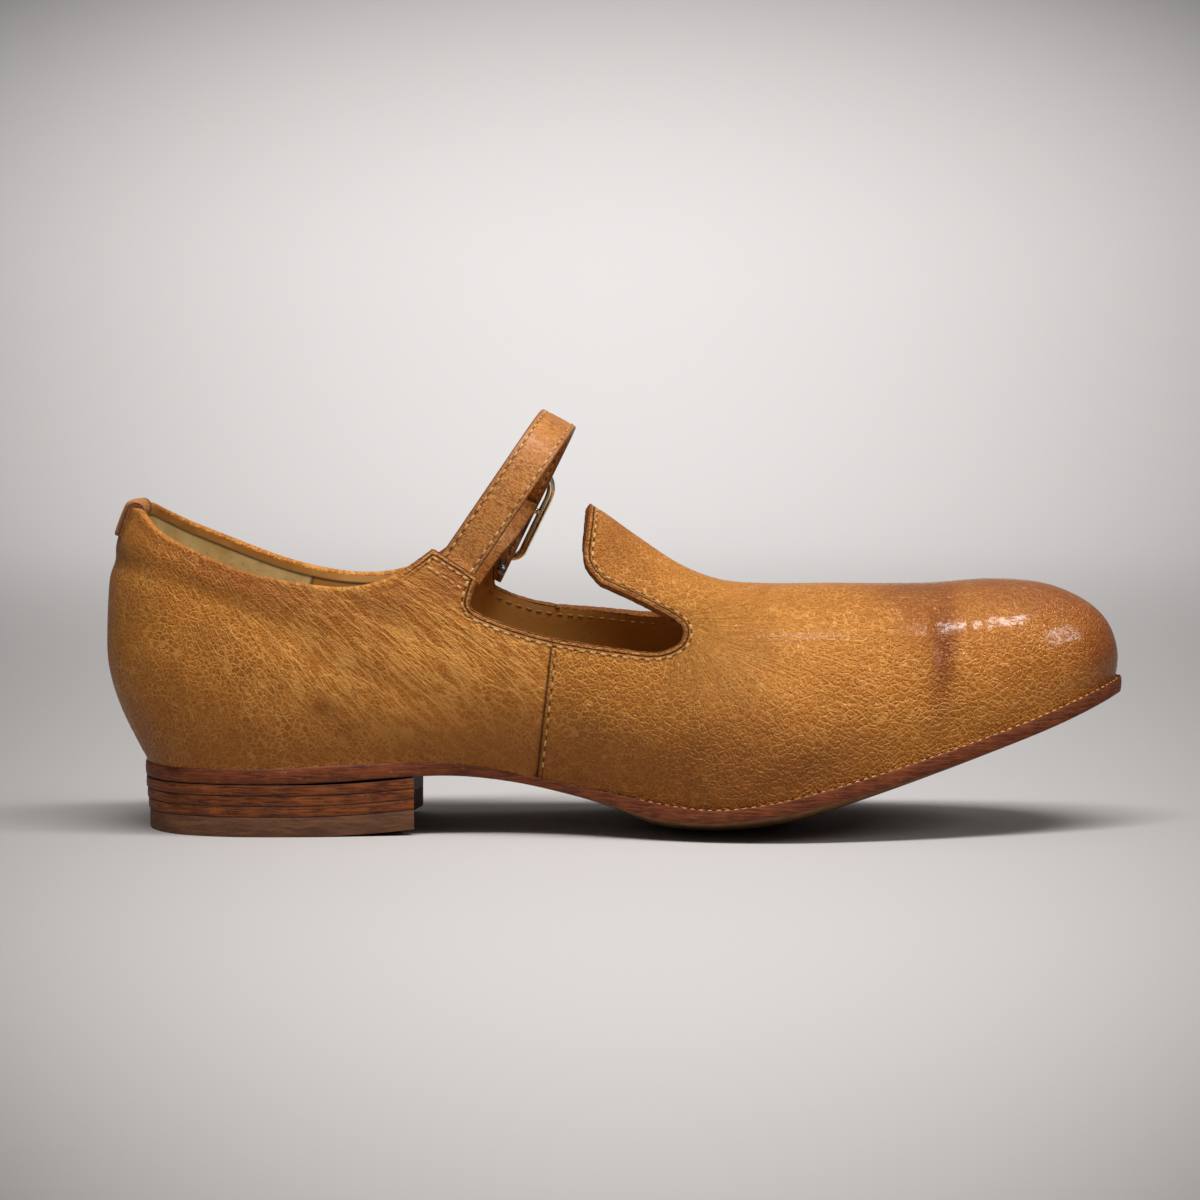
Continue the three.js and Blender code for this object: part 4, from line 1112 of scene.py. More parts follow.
def lining_leather(look):
    """Smooth lining: dull olive round the heel, tan ahead of its lapped joint."""
    f = Finish("Lining leather", {"Specular IOR Level": 0.35})
    place = f.place()
    lap = f.value("lap")
    cloud = f.noise(place, 12.0, 3.0, 0.6).rise(0.3, 0.7)
    spots = f.noise(place, 1.1, 3.0, 0.6)
    olive = f.mix(tuple(look.lining_heel), tint("c0a25c"), cloud)
    tan = f.mix(tuple(look.lining_front), tint("a87a3e"), cloud)
    base = f.mix(olive, tan, lap.rise(-0.2, 0.2))
    base = f.mix(base, tint("5a4420"), (spots.rise(0.56, 0.74) * 0.35).held())
    base = f.mix(base, tint("4a3014"), (1 - abs(lap).rise(0.1, 0.9)) * 0.7)
    # the skin is turned over the collar and ends in a dark line
    rim_gap, folded = f.value("rim_gap"), 1 - f.value("raw")
    turned = f.mix(tint("ac7634"), tint("cf9a54"), cloud)
    base = f.mix(base, turned, (1 - rim_gap.rise(1.6, 1.9)) * folded)
    base = f.mix(base, tint("2c1a0a"), hill(rim_gap, 2.1, 0.7) * folded * 0.85)
    f.set("Base Color", base)
    f.set("Roughness", 0.62 + cloud * 0.12)
    f.set("Normal", f.bump(spots + f.noise(place, 0.35) * 0.6, 0.06))
    return f


def edge_leather(name, layered, dark, light):
    """Burnished edge of sole or heel leather: fibres along the edge, darker joints and worn corners."""
    f = Finish(name, {"Specular IOR Level": 0.22})
    place = f.place()
    strands = f.noise(f.stretched(f.bent(place, 5.0, 0.5), (0.07, 0.07, 1.0)), 0.42, 4.0, 0.7)
    blotch = f.noise(place, 7.0, 3.0, 0.6)
    base = f.mix(dark, light, (strands.rise(0.36, 0.66) * 0.7 + blotch.rise(0.35, 0.7) * 0.3).held())
    joint = f.value("joint")
    base = f.mix(base, tint("1d0d08"), (joint * layered).held())
    worn = f.noise(f.bent(place, 2.0, 1.0), 1.6, 4.0, 0.7).rise(0.6, 0.7)
    base = f.mix(base, tint("b98a5e"), (worn * 0.22).held())
    under = f.value("under")
    # the sole's underside: a dark hide darkened as painted shade, with real scuffs
    shaded_underside = f.mix(tint("7e5a38"), tint("5a3c22"), f.noise(place, 3.0, 5.0, 0.7).rise(0.35, 0.7))
    scuff = f.noise(f.stretched(place, (0.2, 1.0, 1.0)), 1.4, 4.0, 0.7).rise(0.55, 0.7)
    shaded_underside = f.mix(shaded_underside, tint("4c3a2a"), (scuff * 0.5).held())
    base = f.mix(base, shaded_underside, under)
    f.set("Base Color", base)
    f.set("Roughness", (0.42 + blotch * 0.15 + strands * 0.1 + under * 0.25).held())
    f.set("Normal", f.bump(strands * 0.8 + blotch * 0.5 + worn * 0.3, 0.16))
    return f


def heel_rubber(look):
    """Taupe rubber of the heel's top piece, dusty and lightly scratched."""
    f = Finish("Heel rubber", {"Specular IOR Level": 0.15})
    place = f.place()
    grit = f.noise(place, 0.6, 4.0, 0.7)
    smear = f.noise(f.stretched(f.bent(place, 4.0, 1.0), (0.1, 0.1, 1.0)), 0.9, 3.0, 0.6)
    base = f.mix(tuple(look.rubber), tint("7c543a"), smear.rise(0.35, 0.7))
    base = f.mix(base, tint("3f2a20"), (grit.rise(0.55, 0.72) * 0.5).held())
    f.set("Base Color", base)
    f.set("Roughness", 0.62 + grit * 0.2)
    f.set("Normal", f.bump(grit + smear * 0.6, 0.1))
    return f


def strap_leather(look):
    """Finely cross-wrinkled tan strap, darker at its cut edge where two layers meet."""
    f = Finish("Strap leather", {"Specular IOR Level": 0.5, "Coat Roughness": 0.25})
    grain = f.vector("grain")
    place = f.place()
    ripples = f.noise(f.bent(f.stretched(grain, (1.0, 0.3, 1.0)), 2.4, 1.0), 0.62, 3.0, 0.55)
    creases = (1 - abs(ripples - 0.5) * 2).rise(0.86, 0.98)
    net = 1 - f.cells(f.bent(place, 2.0, 0.7), 1.3).rise(0.02, 0.2)
    cloud = f.noise(place, 8.0, 3.0, 0.6).rise(0.3, 0.7)
    base = f.mix(tuple(look.leather_deep), tuple(look.leather), 0.35 + cloud * 0.65)
    base = f.mix(base, tuple(look.vein), (creases * 0.5 + net * 0.2).held())
    base = f.mix(base, tint("74421c"), (ripples.rise(0.52, 0.72) * 0.35).held())
    edge = f.value("edge")
    layer = f.value("layer")
    _, across, _ = f.parts(grain)
    # painted shade: a dark line along each stitch row stands in for the shade of its holes
    channel = hill(abs(across), STRAP_ROW, 0.36) * f.value("sewing")
    base = f.mix(base, tint("2a1108"), (channel * 0.8).held())
    base = f.mix(base, tint("6a3a1c"), (edge * 0.8).held())
    base = f.mix(base, tint("2c130b"), ((1 - abs(layer - 0.5).rise(0.03, 0.1)) * edge).held())
    f.set("Base Color", base)
    f.set("Roughness", 0.46 + cloud * 0.12)
    f.set("Coat Weight", (0.1 + cloud * 0.1).held())
    f.set("Normal", f.bump(ripples * 0.8 + creases * 0.3 + net * 0.2, 0.12))
    return f


def buckle_metal(look):
    """Pale gold wire, polished, with fine rubs."""
    f = Finish("Pale gold wire", {"Metallic": 1.0})
    place = f.place()
    rubs = f.noise(f.stretched(place, (1.0, 1.0, 0.25)), 0.5, 4.0, 0.7)
    tarnish = f.noise(place, 3.0, 3.0, 0.6)
    f.set("Base Color", f.mix(tuple(look.gold), tint("b09a6c"), (tarnish.rise(0.5, 0.8) * 0.4).held()))
    f.set("Roughness", 0.2 + rubs.rise(0.45, 0.8) * 0.2)
    f.set("Normal", f.bump(rubs, 0.01))
    return f


def steel():
    """Plain grey steel, a little worn."""
    f = Finish("Grey steel", {"Metallic": 1.0})
    place = f.place()
    wear = f.noise(place, 0.8, 4.0, 0.7)
    f.set("Base Color", f.mix(tint("6f6b68"), tint("b5b0ab"), wear.rise(0.4, 0.7)))
    f.set("Roughness", 0.24 + wear * 0.2)
    f.set("Normal", f.bump(wear, 0.01))
    return f


def waxed_thread(look):
    """Pale waxed thread, twisted, with painted shade where it enters its holes and on the stitches inside the
    shoe.
    """
    f = Finish("Waxed thread", {"Specular IOR Level": 0.4})
    place = f.place()
    twist = f.noise(f.stretched(place, (1.0, 1.0, 2.0)), 0.22, 2.0, 0.6)
    fade = f.noise(place, 9.0, 2.0)
    base = f.mix(tuple(look.thread), tint("9a602c"), fade.rise(0.35, 0.75) * 0.7)
    base = f.mix(base, tint("6b3f1c"), (twist.rise(0.5, 0.75) * 0.45).held())
    # painted shade on the stitches inside the shoe: the same thread, darker
    base = f.mix(base, tint("7a4a22"), f.value("shaded_inside") * 0.8)
    # painted shade where the thread goes into its holes
    base = f.mix(base, tint("1a0b06"), f.value("hole_shade").rise(0.25, 0.95))
    f.set("Base Color", base)
    f.set("Roughness", 0.55 + twist * 0.2)
    f.set("Normal", f.bump(twist, 0.05))
    return f


FINISHES = {}


def finish(name):
    """Each finish is made once, from the colours in the panel."""
    look = bpy.context.scene.shoe_look
    makers = {
        "skin": skin_leather,
        "lining": lining_leather,
        "sole": lambda _: edge_leather("Sole leather", 0.5, tint("4a2010"), tint("8e4a26")),
        "lift": lambda _: edge_leather("Heel leather", 0.8, tint("421c0a"), tint("9a5426")),
        "rubber": heel_rubber,
        "strap": strap_leather,
        "gold": buckle_metal,
        "steel": lambda _: steel(),
        "thread": waxed_thread,
    }
    if name not in FINISHES:
        FINISHES[name] = makers[name](look)
    return FINISHES[name]


# ---- sole and heel ----

# A sole edge from its top to its bottom: inset, and height from the top (t), middle (m) or bottom (b).
EDGE_PROFILE = [
    (3.0, "t", 0.0), (1.2, "t", 0.0), (0.45, "t", 0.05), (0.12, "t", 0.2), (0.0, "t", 0.55),
    (-0.08, "m", 0.0),
    (0.0, "b", 0.55), (0.12, "b", 0.2), (0.45, "b", 0.05), (1.4, "b", 0.0), (4.0, "b", 0.0),
]


def slab(p_rows, top_of, bottom_of, inset_of, profile, across, move=None):
    """A plate with worked edges: rows across from the inner to the outer side, closed round each row."""
    sides = []
    for sign in (1, -1):
        p = p_rows if sign > 0 else LOOP - p_rows
        edge = []
        for inset, kind, gap in profile:
            plan = foot_point(p, inset_of(rib(p, "x")) + inset)
            top, bottom = top_of(*plan.T), bottom_of(*plan.T)
            z = {"t": top - gap, "m": (top + bottom) / 2 + gap, "b": bottom + gap}[kind]
            edge.append(np.column_stack([plan, z]))
        sides.append(np.stack(edge, 1))
    inner, outer = sides
    t = np.linspace(0, 1, across + 2)[1:-1][None, :, None]
    under = inner[:, -1:] * (1 - t) + outer[:, -1:] * t
    over = outer[:, :1] * (1 - t) + inner[:, :1] * t
    under[..., 2] = bottom_of(under[..., 0], under[..., 1])
    over[..., 2] = top_of(over[..., 0], over[..., 1])
    rows = np.concatenate([inner, under, outer[:, ::-1], over], 1)
    if move is not None:
        rows = move(rows)
    n, m = rows.shape[:2]
    e = len(profile)
    faces = grid_faces(n, m, wrap_cols=True)
    last = (n - 1) * m
    low = [last + k for k in range(e - 1, e + across + 1)]
    high = [last + k for k in (0, *range(m - 1, 2 * e + across - 2, -1))]
    faces += [[low[k], high[k], high[k + 1], low[k + 1]] for k in range(len(low) - 1)]
    faces.append([last + k for k in range(e)][::-1])
    faces.append([last + k for k in range(e + across, 2 * e + across)][::-1])
    faces.append(list(range(m)))
    return rows.reshape(-1, 3), faces


def shell_volume(points, faces):
    total = 0.0
    for face in faces:
        a = points[face[0]]
        for b, c in zip(face[1:], face[2:]):
            total += a @ np.cross(points[b], points[c])
    return total / 6


def closed_piece(name, points, faces, *rest, sharp=None, **named):
    """A closed piece with its faces turned outward, and sharp edges kept if an angle is given."""
    made = piece(name, points, faces, *rest, flip=shell_volume(points, faces) < 0, **named)
    if sharp:
        made.data.set_sharp_from_angle(angle=math.radians(sharp))
    return made


def same(value):
    """A height or an inset that is the same everywhere."""
    return lambda x, *_: np.full(np.shape(x), value)


def make_outsole():
    p = np.linspace(0, TOE, 361)
    p[0], p[-1] = 0.01, TOE - 0.01
    points, faces = slab(p, sole_top, sole_bottom, same(0.0), EDGE_PROFILE, 12)
    x, y, z = points.T
    top, bottom = sole_top(x, y), sole_bottom(x, y)
    under = 1 - smooth(z - bottom, 0.02, 0.12)
    inner = smooth(np.abs(top - z), 0.02, 0.3) * (1 - under)
    wobble = 0.06 * np.sin(x / 3.1) * np.sin(x / 1.7 + 1) * inner
    points[:, 1] += wobble * np.sign(y + 4)
    return closed_piece("outsole_leather", points, faces, finish("sole"), "sole_leather", ["outsole"],
                        values={"joint": 0.5 * hump(top - z, 0.0, 0.35), "under": under}, sharp=60)


def heel_rise(x):
    return HEEL["rise"] * np.maximum((x - HEEL["rise_from"]) / (HEEL["breast"] - HEEL["rise_from"]), 0) ** 2


def make_heel():
    """Stacked leather lifts over a rubber top piece, worn a little at their joints."""
    end = np.interp(HEEL["breast"], rib(INNER_EDGE, "x"), INNER_EDGE)
    p = np.linspace(0.01, end, 130)
    across = 9
    made = []
    for number, (name, low, high) in enumerate(HEEL_LAYERS):
        rubber = name == "top_piece"
        low, high = (0.0 if rubber else low - 0.13), high + 0.13
        round_low, round_high = (0.35, 0.16) if rubber else (0.16, 0.16)
        profile = [(2.0, "t", 0.0), (round_high, "t", 0.0), (0.05, "t", 0.06), (0.0, "t", round_high + 0.1),
                   (-0.03, "m", 0.0), (0.0, "b", round_low + 0.1), (0.06, "b", 0.08), (round_low, "b", 0.0),
                   (2.0, "b", 0.0)]
        far = len(profile) + across
        inset = HEEL["taper"] * (1 - (low + high) / 2 / HEEL_HEIGHT)

        def seat(rows):
            """The hollow breast, and the rise towards it."""
            middle = (rows[:, :1] + rows[:, far:far + 1]) / 2
            half = np.maximum(np.abs(rows[:, :1, 1] - rows[:, far:far + 1, 1]) / 2 + 2, 1)
            q = np.clip((rows[..., 1] - middle[..., 1]) / half, -1, 1)
            hollow = HEEL["hollow"] * (1 - q**2) * smooth(rows[..., 0], HEEL["rise_from"], HEEL["breast"])
            rows[..., 0] -= hollow
            taper = HEEL["taper"] * (high + low - 2 * rows[..., 2]) / 2 / HEEL_HEIGHT
            rows[..., 1] -= taper * np.sign(rows[..., 1]) * (np.abs(q) > 0.8)
            rows[..., 2] += heel_rise(rows[..., 0])
            return rows

        points, faces = slab(p, same(high), same(low), same(inset), profile, across, move=seat)
        level = points[:, 2] - heel_rise(points[:, 0])
        joint = np.maximum(hump(level, high, 0.16), 0 if rubber else hump(level, low, 0.16))
        points[:, 1] += HEEL["ledge"] * (number % 2) * np.sign(points[:, 1])
        values = {"joint": joint, "under": np.zeros(len(points))}
        look, slot = (finish("rubber"), "top_rubber") if rubber else (finish("lift"), "heel_leather")
        made.append(closed_piece(f"{name}_worn", points, faces, look, slot, [name], values=values, sharp=55))
    return made


def make_insole():
    p = np.linspace(0, TOE, 161)
    p[0], p[-1] = 0.02, TOE - 0.02
    base = lambda x, y: sole_top(x, y) + 0.1
    top = lambda x, y: sole_top(x, y) + GAP + INSOLE_THICKNESS + 0.7 * cross_share(x, y) ** 6
    profile = [(4.0, "t", 0.0), (1.5, "t", 0.0), (0.4, "t", 0.15), (0.0, "t", 0.6), (0.0, "b", 0.2),
               (0.4, "b", 0.0), (4.0, "b", 0.0)]
    points, faces = slab(p, top, base, lambda x: sole_margin(x) + WALL - 0.2, profile, 16)
    return closed_piece("insole_leather", points, faces, finish("lining"), "lining_leather", ["insole"],
                        values={"lap": np.full(len(points), 3.0)}, sharp=60)


# ---- upper ----

WORK = {}  # the finished skin, lining and strap, kept for placing the stitches on them
RIM_STEPS = 9
SKIRT = 0.8  # how far the skin runs down behind the sole's margin


def rim_frame():
    """The opening's edge: points, normals, directions into the opening and raw shares."""
    p, s, raw = OPENING
    base = outside(p, s)
    normal = wall_normal(p, s)
    run = unit(np.roll(base, -1, 0) - np.roll(base, 1, 0))
    return base, normal, unit(np.cross(normal, run)), raw


def make_upper():
    sizes = bpy.context.scene.shoe_sizes
    net = skin_net(sizes.skin_pitch / MM, seam_lines(0.6, (-0.9, -0.45, 0, 0.45)))
    facts = skin_facts(net)
    points = facts["base"] + facts["normal"] * relief(facts)[:, None]
    n, m = net["foot"], net["opening"]
    rim_base, rim_normal, into, raw = rim_frame()
    rim_points = points[n:n + m]
    start = len(points)
    skirt = points[:n] - np.array([0, 0, SKIRT])
    rings, depths = [], []
    fray = 0.06 * np.sin(np.arange(m) * 2.1) + 0.05 * np.sin(np.arange(m) * 0.9 + 1)
    for k in range(1, RIM_STEPS + 1):
        angle = math.pi * k / RIM_STEPS
        power = 2 / (2 + 2.5 * raw)
        c, w = math.cos(angle), math.sin(angle)
        depth = WALL / 2 * (1 - np.sign(c) * abs(c) ** power)
        stand = (ROLL * (1 - raw) + 0.4 * raw) * w**power + fray * raw * w
        rings.append(rim_points - rim_normal * depth[:, None] + into * stand[:, None])
        depths.append(depth)
    everything = np.vstack([points, skirt, *rings])
    faces = net["triangles"].tolist()
    i = np.arange(n)
    j = (i + 1) % n
    faces += np.stack([start + i, start + j, j, i], 1).tolist()
    first_ring = start + n
    ring_ids = [n + np.arange(m)] + [first_ring + k * m + np.arange(m) for k in range(RIM_STEPS)]
    for a, b in zip(ring_ids, ring_ids[1:]):
        faces += np.stack([a, np.roll(a, -1), np.roll(b, -1), b], 1).tolist()

    def spread(skin, on_skirt, on_rim):
        return np.concatenate([skin, on_skirt, on_rim], axis=0)

    masks = paint(facts)
    rim_run = np.arange(m) * OPENING_PITCH
    raw_at = nearest_raw(facts, rim_base, raw)
    ahead = smooth(seam_gap(facts), -0.2, 0.2)
    drag = drag_share(facts)
    zeros_rim = np.zeros(m * RIM_STEPS)
    values = {key: spread(mask, mask[:n], np.tile(mask[n:n + m], RIM_STEPS)) for key, mask in masks.items()}
    values["vamp"] = spread(ahead, ahead[:n], np.tile(ahead[n:n + m], RIM_STEPS))
    values["drag"] = spread(drag, drag[:n], np.tile(drag[n:n + m], RIM_STEPS))
    sewn = seam_gap(facts) - SEAM_ROW
    sewing = (facts["rim_gap"] > EDGE_ROW + 1).astype(float)
    values["sewn"] = spread(sewn, sewn[:n], np.full(m * RIM_STEPS, 9.0))
    values["sewing"] = spread(sewing, np.zeros(n), zeros_rim)
    values["edge"] = spread(np.zeros(start), np.zeros(n), np.tile(raw, RIM_STEPS))
    values["raw"] = spread(raw_at, np.zeros(n), np.tile(raw, RIM_STEPS))
    values["rim_gap"] = spread(facts["rim_gap"], np.full(n, 20.0), zeros_rim)
    grain = fan(facts)
    values["fan"] = spread(grain, grain[:n], np.tile(grain[n:n + m], (RIM_STEPS, 1)))
    rim_place = [np.column_stack([rim_run, depth * 2, np.zeros(m)]) for depth in depths]
    values["rim_place"] = spread(np.zeros((start, 3)), np.zeros((n, 3)), np.vstack(rim_place))
    WORK["skin"] = BVHTree.FromPolygons([Vector(v) for v in points], net["triangles"].tolist())
    return piece("upper_leather", everything, faces, finish("skin"), "upper_leather", ["upper"],
                 values=values)


def nearest_raw(facts, rim_base, raw):
    near = facts["rim_gap"] < 6
    out = np.zeros(len(near))
    _, which = nearest(facts["base"][near], rim_base)
    out[near] = raw[which]
    return out


def drag_share(facts):
    """Where the skin shows drag lines rather than cells: the quarter's top and the corner of the throat."""
    x, z = facts["base"][:, 0], facts["base"][:, 2]
    quarter = smooth(x, 22, 60) * smooth(z - 0.25 * np.abs(x - 80), 12, 40) * (1 - smooth(x, 112, 118))
    vamp = np.exp(-(((x - 158) / 16) ** 2) - ((z - 46) / 14) ** 2) * smooth(x, 112, 118)
    return np.clip(quarter + 0.9 * vamp, 0, 1)


LAP = {"x": 52, "z": 66, "lean": 0.3}
LINING_PITCH = 2.0


def make_lining():
    net = skin_net(LINING_PITCH)
    facts = skin_facts(net)
    x, z = facts["base"][:, 0], facts["base"][:, 2]
    lap = x - LAP["x"] - LAP["lean"] * (z - LAP["z"])
    rim_base, _, _, raw = rim_frame()
    thicker = 0.45 * smooth(lap, -0.4, 0.4) * smooth(facts["rim_gap"], 0, 3)
    points = facts["base"] - facts["normal"] * (WALL + thicker)[:, None]
    WORK["lining"] = BVHTree.FromPolygons([Vector(v) for v in points], net["triangles"].tolist())
    values = {"lap": lap, "rim_gap": facts["rim_gap"], "raw": nearest_raw(facts, rim_base, raw)}
    return piece("upper_lining", points, net["triangles"].tolist(), finish("lining"), "lining_leather",
                 ["upper"], values=values, flip=True)


# ---- strap, tab, buckle and heel tab ----


def lean_of(leg):
    return np.array([math.sin(math.radians(leg["lean"])), 0, math.cos(math.radians(leg["lean"]))])


def wall_y(side, x, z):
    p, s = LAST.place(side, [x], [z])
    return outside(p, s)[0, 1]


STRAP_IN = WALL + GAP + 0.7 + STRAP["thick"] / 2
INNER_Y = wall_y(-1, INNER_LEG["x"], INNER_LEG["z"]) + STRAP_IN
OUTER_Y = wall_y(1, OUTER_LEG["x"] - 3.4, OUTER_LEG["z"]) - WALL / 2
SPAN_MIDDLE = (INNER_Y + OUTER_Y) / 2
SPAN_HALF = (OUTER_Y - INNER_Y) / 2


def arch_point(y, r):
    """Points on the strap's leaning arch, and its width direction: y across, r up along the lean."""
    y, r = np.atleast_1d(np.asarray(y, float)), np.atleast_1d(np.asarray(r, float))
    t = smooth(y, SPAN_MIDDLE - 0.7 * SPAN_HALF, SPAN_MIDDLE + 0.7 * SPAN_HALF)[:, None]
    lean = unit(lean_of(INNER_LEG) * (1 - t) + lean_of(OUTER_LEG) * t)
    inner, outer = (np.array([leg["x"], 0, leg["z"]]) for leg in (INNER_LEG, OUTER_LEG))
    base = inner * (1 - t) + outer * t
    points = base + lean * r[:, None]
    points[:, 1] = y
    return points, np.stack([lean[:, 2], np.zeros(len(y)), -lean[:, 0]], 1)


def leg_y(r):
    w = np.clip(np.asarray(r, float) / STRAP["rise"], 0, 1)
    return SPAN_MIDDLE + SPAN_HALF * (1 - w ** STRAP["power"]) ** (1 / STRAP["power"])


def frame_y(r):
    low, high = leg_y(0) + BUCKLE_OUT["bottom"], leg_y(BUCKLE["length"]) + BUCKLE_OUT["top"]
    return low + (high - low) * np.asarray(r, float) / BUCKLE["length"]


BAR_N = float(frame_y(BUCKLE["bar_at"]) - leg_y(BUCKLE["bar_at"]))
FOLD = 0.8  # thickness of the tab where it is skived thin to fold round the bar
OVER_BAR = BAR_N + BUCKLE["bar"] + FOLD + 0.1 + STRAP["thick"] / 2
OVER_EAR = WALL / 2 + GAP + 0.4 + STRAP["thick"] / 2

# The strap below the arch, by height r over the ear and n outward of the leg's line.
FREE_LEG = [(26, 0), (22.3, 0.4), (19, 2.8), (BUCKLE["bar_at"], OVER_BAR), (9, OVER_BAR - 0.5), (4.5, 3.6),
            (0, OVER_EAR + 0.2), (-3, OVER_EAR + 0.8), (-STRAP["free_end"], OVER_EAR + 1.8)]
TAB_ROUTE = [(-8, -3, 4.5), (-2, -3.1, 3.6), (3, -2.3, 2.6), (8, 0, 1.2)]


def strap_line():
    path = []
    for r in (-STRAP["tuck"], -STRAP["tuck"] / 2, 0):
        spot, _ = arch_point(INNER_Y, r)
        path.append((wall_y(-1, spot[0, 0], spot[0, 2]) + STRAP_IN, r))
    turns = 22
    for i in range(1, turns):
        angle = math.pi * (1 - i / turns)
        c, s = math.cos(angle), math.sin(angle)
        k = (abs(c) ** STRAP["power"] + s ** STRAP["power"]) ** (-1 / STRAP["power"])
        r = STRAP["rise"] * k * s
        if c > 0 and r < FREE_LEG[0][0] + 3:
            continue
        path.append((SPAN_MIDDLE + SPAN_HALF * k * c, r))
    path += [(float(leg_y(r)) + n, r) for r, n in FREE_LEG]
    even = spline(path, 10)
    points, across = arch_point(even[:, 0], even[:, 1])
    return resample(points, 0.7, (across,))


def band(points, across, section):
    """A flat band: section is a closed list of (across, outward) offsets."""
    forward = unit(np.gradient(points, axis=0))
    across = unit(across - forward * (across * forward).sum(1, keepdims=True))
    out = unit(np.cross(across, forward))
    section = np.array(section, float)
    rings = (points[:, None] + across[:, None] * section[None, :, :1] + out[:, None] * section[None, :, 1:])
    count = len(section)
    faces = grid_faces(len(points), count, wrap_cols=True)
    faces += [list(range(count)), list(range((len(points) - 1) * count, len(points) * count))[::-1]]
    return rings.reshape(-1, 3), faces, across, out


def strap_section(width, thick, channel=0.12, groove=0.18, row=1.9):
    """Two layers sewn together: soft faces with a stitch channel, rounded edges and a joint between."""
    half, h = width / 2, thick / 2
    face = [(w, h + 0.05 - channel * float(hump(abs(w), half - row, 0.5)) - 0.1 * (w / half) ** 4)
            for w in np.linspace(-half + 0.5, half - 0.5, 15)]
    edge = [(half - 0.2, h * 0.86), (half - 0.03, h * 0.5), (half - 0.02, 0.12), (half - groove, 0),
            (half - 0.02, -0.12), (half - 0.03, -h * 0.5), (half - 0.2, -h * 0.86)]
    loop = face + edge + [(-w, -t) for w, t in face] + [(-w, -t) for w, t in edge]
    return loop


def band_values(points_count, section, run, thick, width, sewn=False):
    section = np.array(section)
    across = np.tile(section[:, 0], points_count)
    out = np.tile(section[:, 1], points_count)
    along_run = np.repeat(run, len(section))
    return {
        "grain": np.column_stack([along_run, across, out]),
        "layer": out / thick + 0.5,
        "sewing": np.full(len(out), float(sewn)),
        "edge": smooth(np.abs(across), width / 2 - 0.65, width / 2 - 0.2),
    }


def make_strap():
    points, across = strap_line()
    section = strap_section(STRAP["width"], STRAP["thick"])
    shell, faces, across, out = band(points, across, section)
    WORK["strap"] = (points, across, out)
    values = band_values(len(points), section, lengths(points), STRAP["thick"], STRAP["width"], sewn=True)
    return closed_piece("strap_leather", shell, faces, finish("strap"), "upper_leather", ["strap"],
                        values=values, sharp=50)


def make_tab():
    """The buckle's leather tab: up from inside the ear, round the bar, and a short way back."""
    centre_r, centre_n, turn = BUCKLE["bar_at"], BAR_N, BUCKLE["bar"] + FOLD / 2 + 0.05
    route = list(TAB_ROUTE)
    for angle in np.radians([200, 165, 130, 95, 60, 25, -5]):
        route.append((centre_r + turn * math.sin(angle), centre_n + turn * math.cos(angle), 0.2))
    route += [(11.5, centre_n + turn, 0.3), (9.0, centre_n + turn - 0.25, 0.4)]
    even = spline(route, 8)
    points, across = arch_point(leg_y(even[:, 0]) + even[:, 1], even[:, 0])
    points = points - across * even[:, 2:3]
    points, across = resample(points, 0.35, (across,))
    section = strap_section(TAB["width"], FOLD, channel=0.05, groove=0.05, row=1.4)
    shell, faces, _, _ = band(points, across, section)
    values = band_values(len(points), section, lengths(points), FOLD, TAB["width"])
    return closed_piece("buckle_tab_leather", shell, faces, finish("strap"), "upper_leather", ["buckle_tab"],
                        values=values, sharp=50)


def buckle_axes():
    low, level = arch_point(frame_y(0), 0)
    high, _ = arch_point(frame_y(BUCKLE["length"]), BUCKLE["length"])
    up = unit(high[0] - low[0])
    across = unit(level[0] - up * (level[0] @ up))
    return low[0], up, across, np.cross(up, across)


def buckle_point(r, w, n=0.0):
    origin, up, across, out = buckle_axes()
    r, w = np.atleast_1d(r), np.atleast_1d(w)
    return origin + r[:, None] * up + w[:, None] * across + n * out


def frame_outline():
    """The wire's middle line: tight lower corners and a round top."""
    half = BUCKLE["width"] / 2 - BUCKLE["wire"]
    low, high = BUCKLE["wire"], BUCKLE["length"] - BUCKLE["wire"]
    corner, crown = BUCKLE["corner"], BUCKLE["top_round"]
    turn = np.linspace(0, math.pi / 2, 12)
    right = np.column_stack([half - corner + corner * np.sin(turn), low + corner - corner * np.cos(turn)])
    arc = np.linspace(0, math.pi, 36)
    c, s = np.cos(arc), np.sin(arc)
    power = 2.3
    k = (np.abs(c) ** power + np.abs(s) ** power) ** (-1 / power)
    top = np.column_stack([half * k * c, high - crown + crown * k * s])
    left = right[::-1] * [-1, 1]
    outline = np.vstack([right, top, left])
    return resample(np.vstack([outline, outline[:1]]), 0.5)[:-1]


def outward(points, faces):
    return points, faces if shell_volume(points, faces) > 0 else [face[::-1] for face in faces]


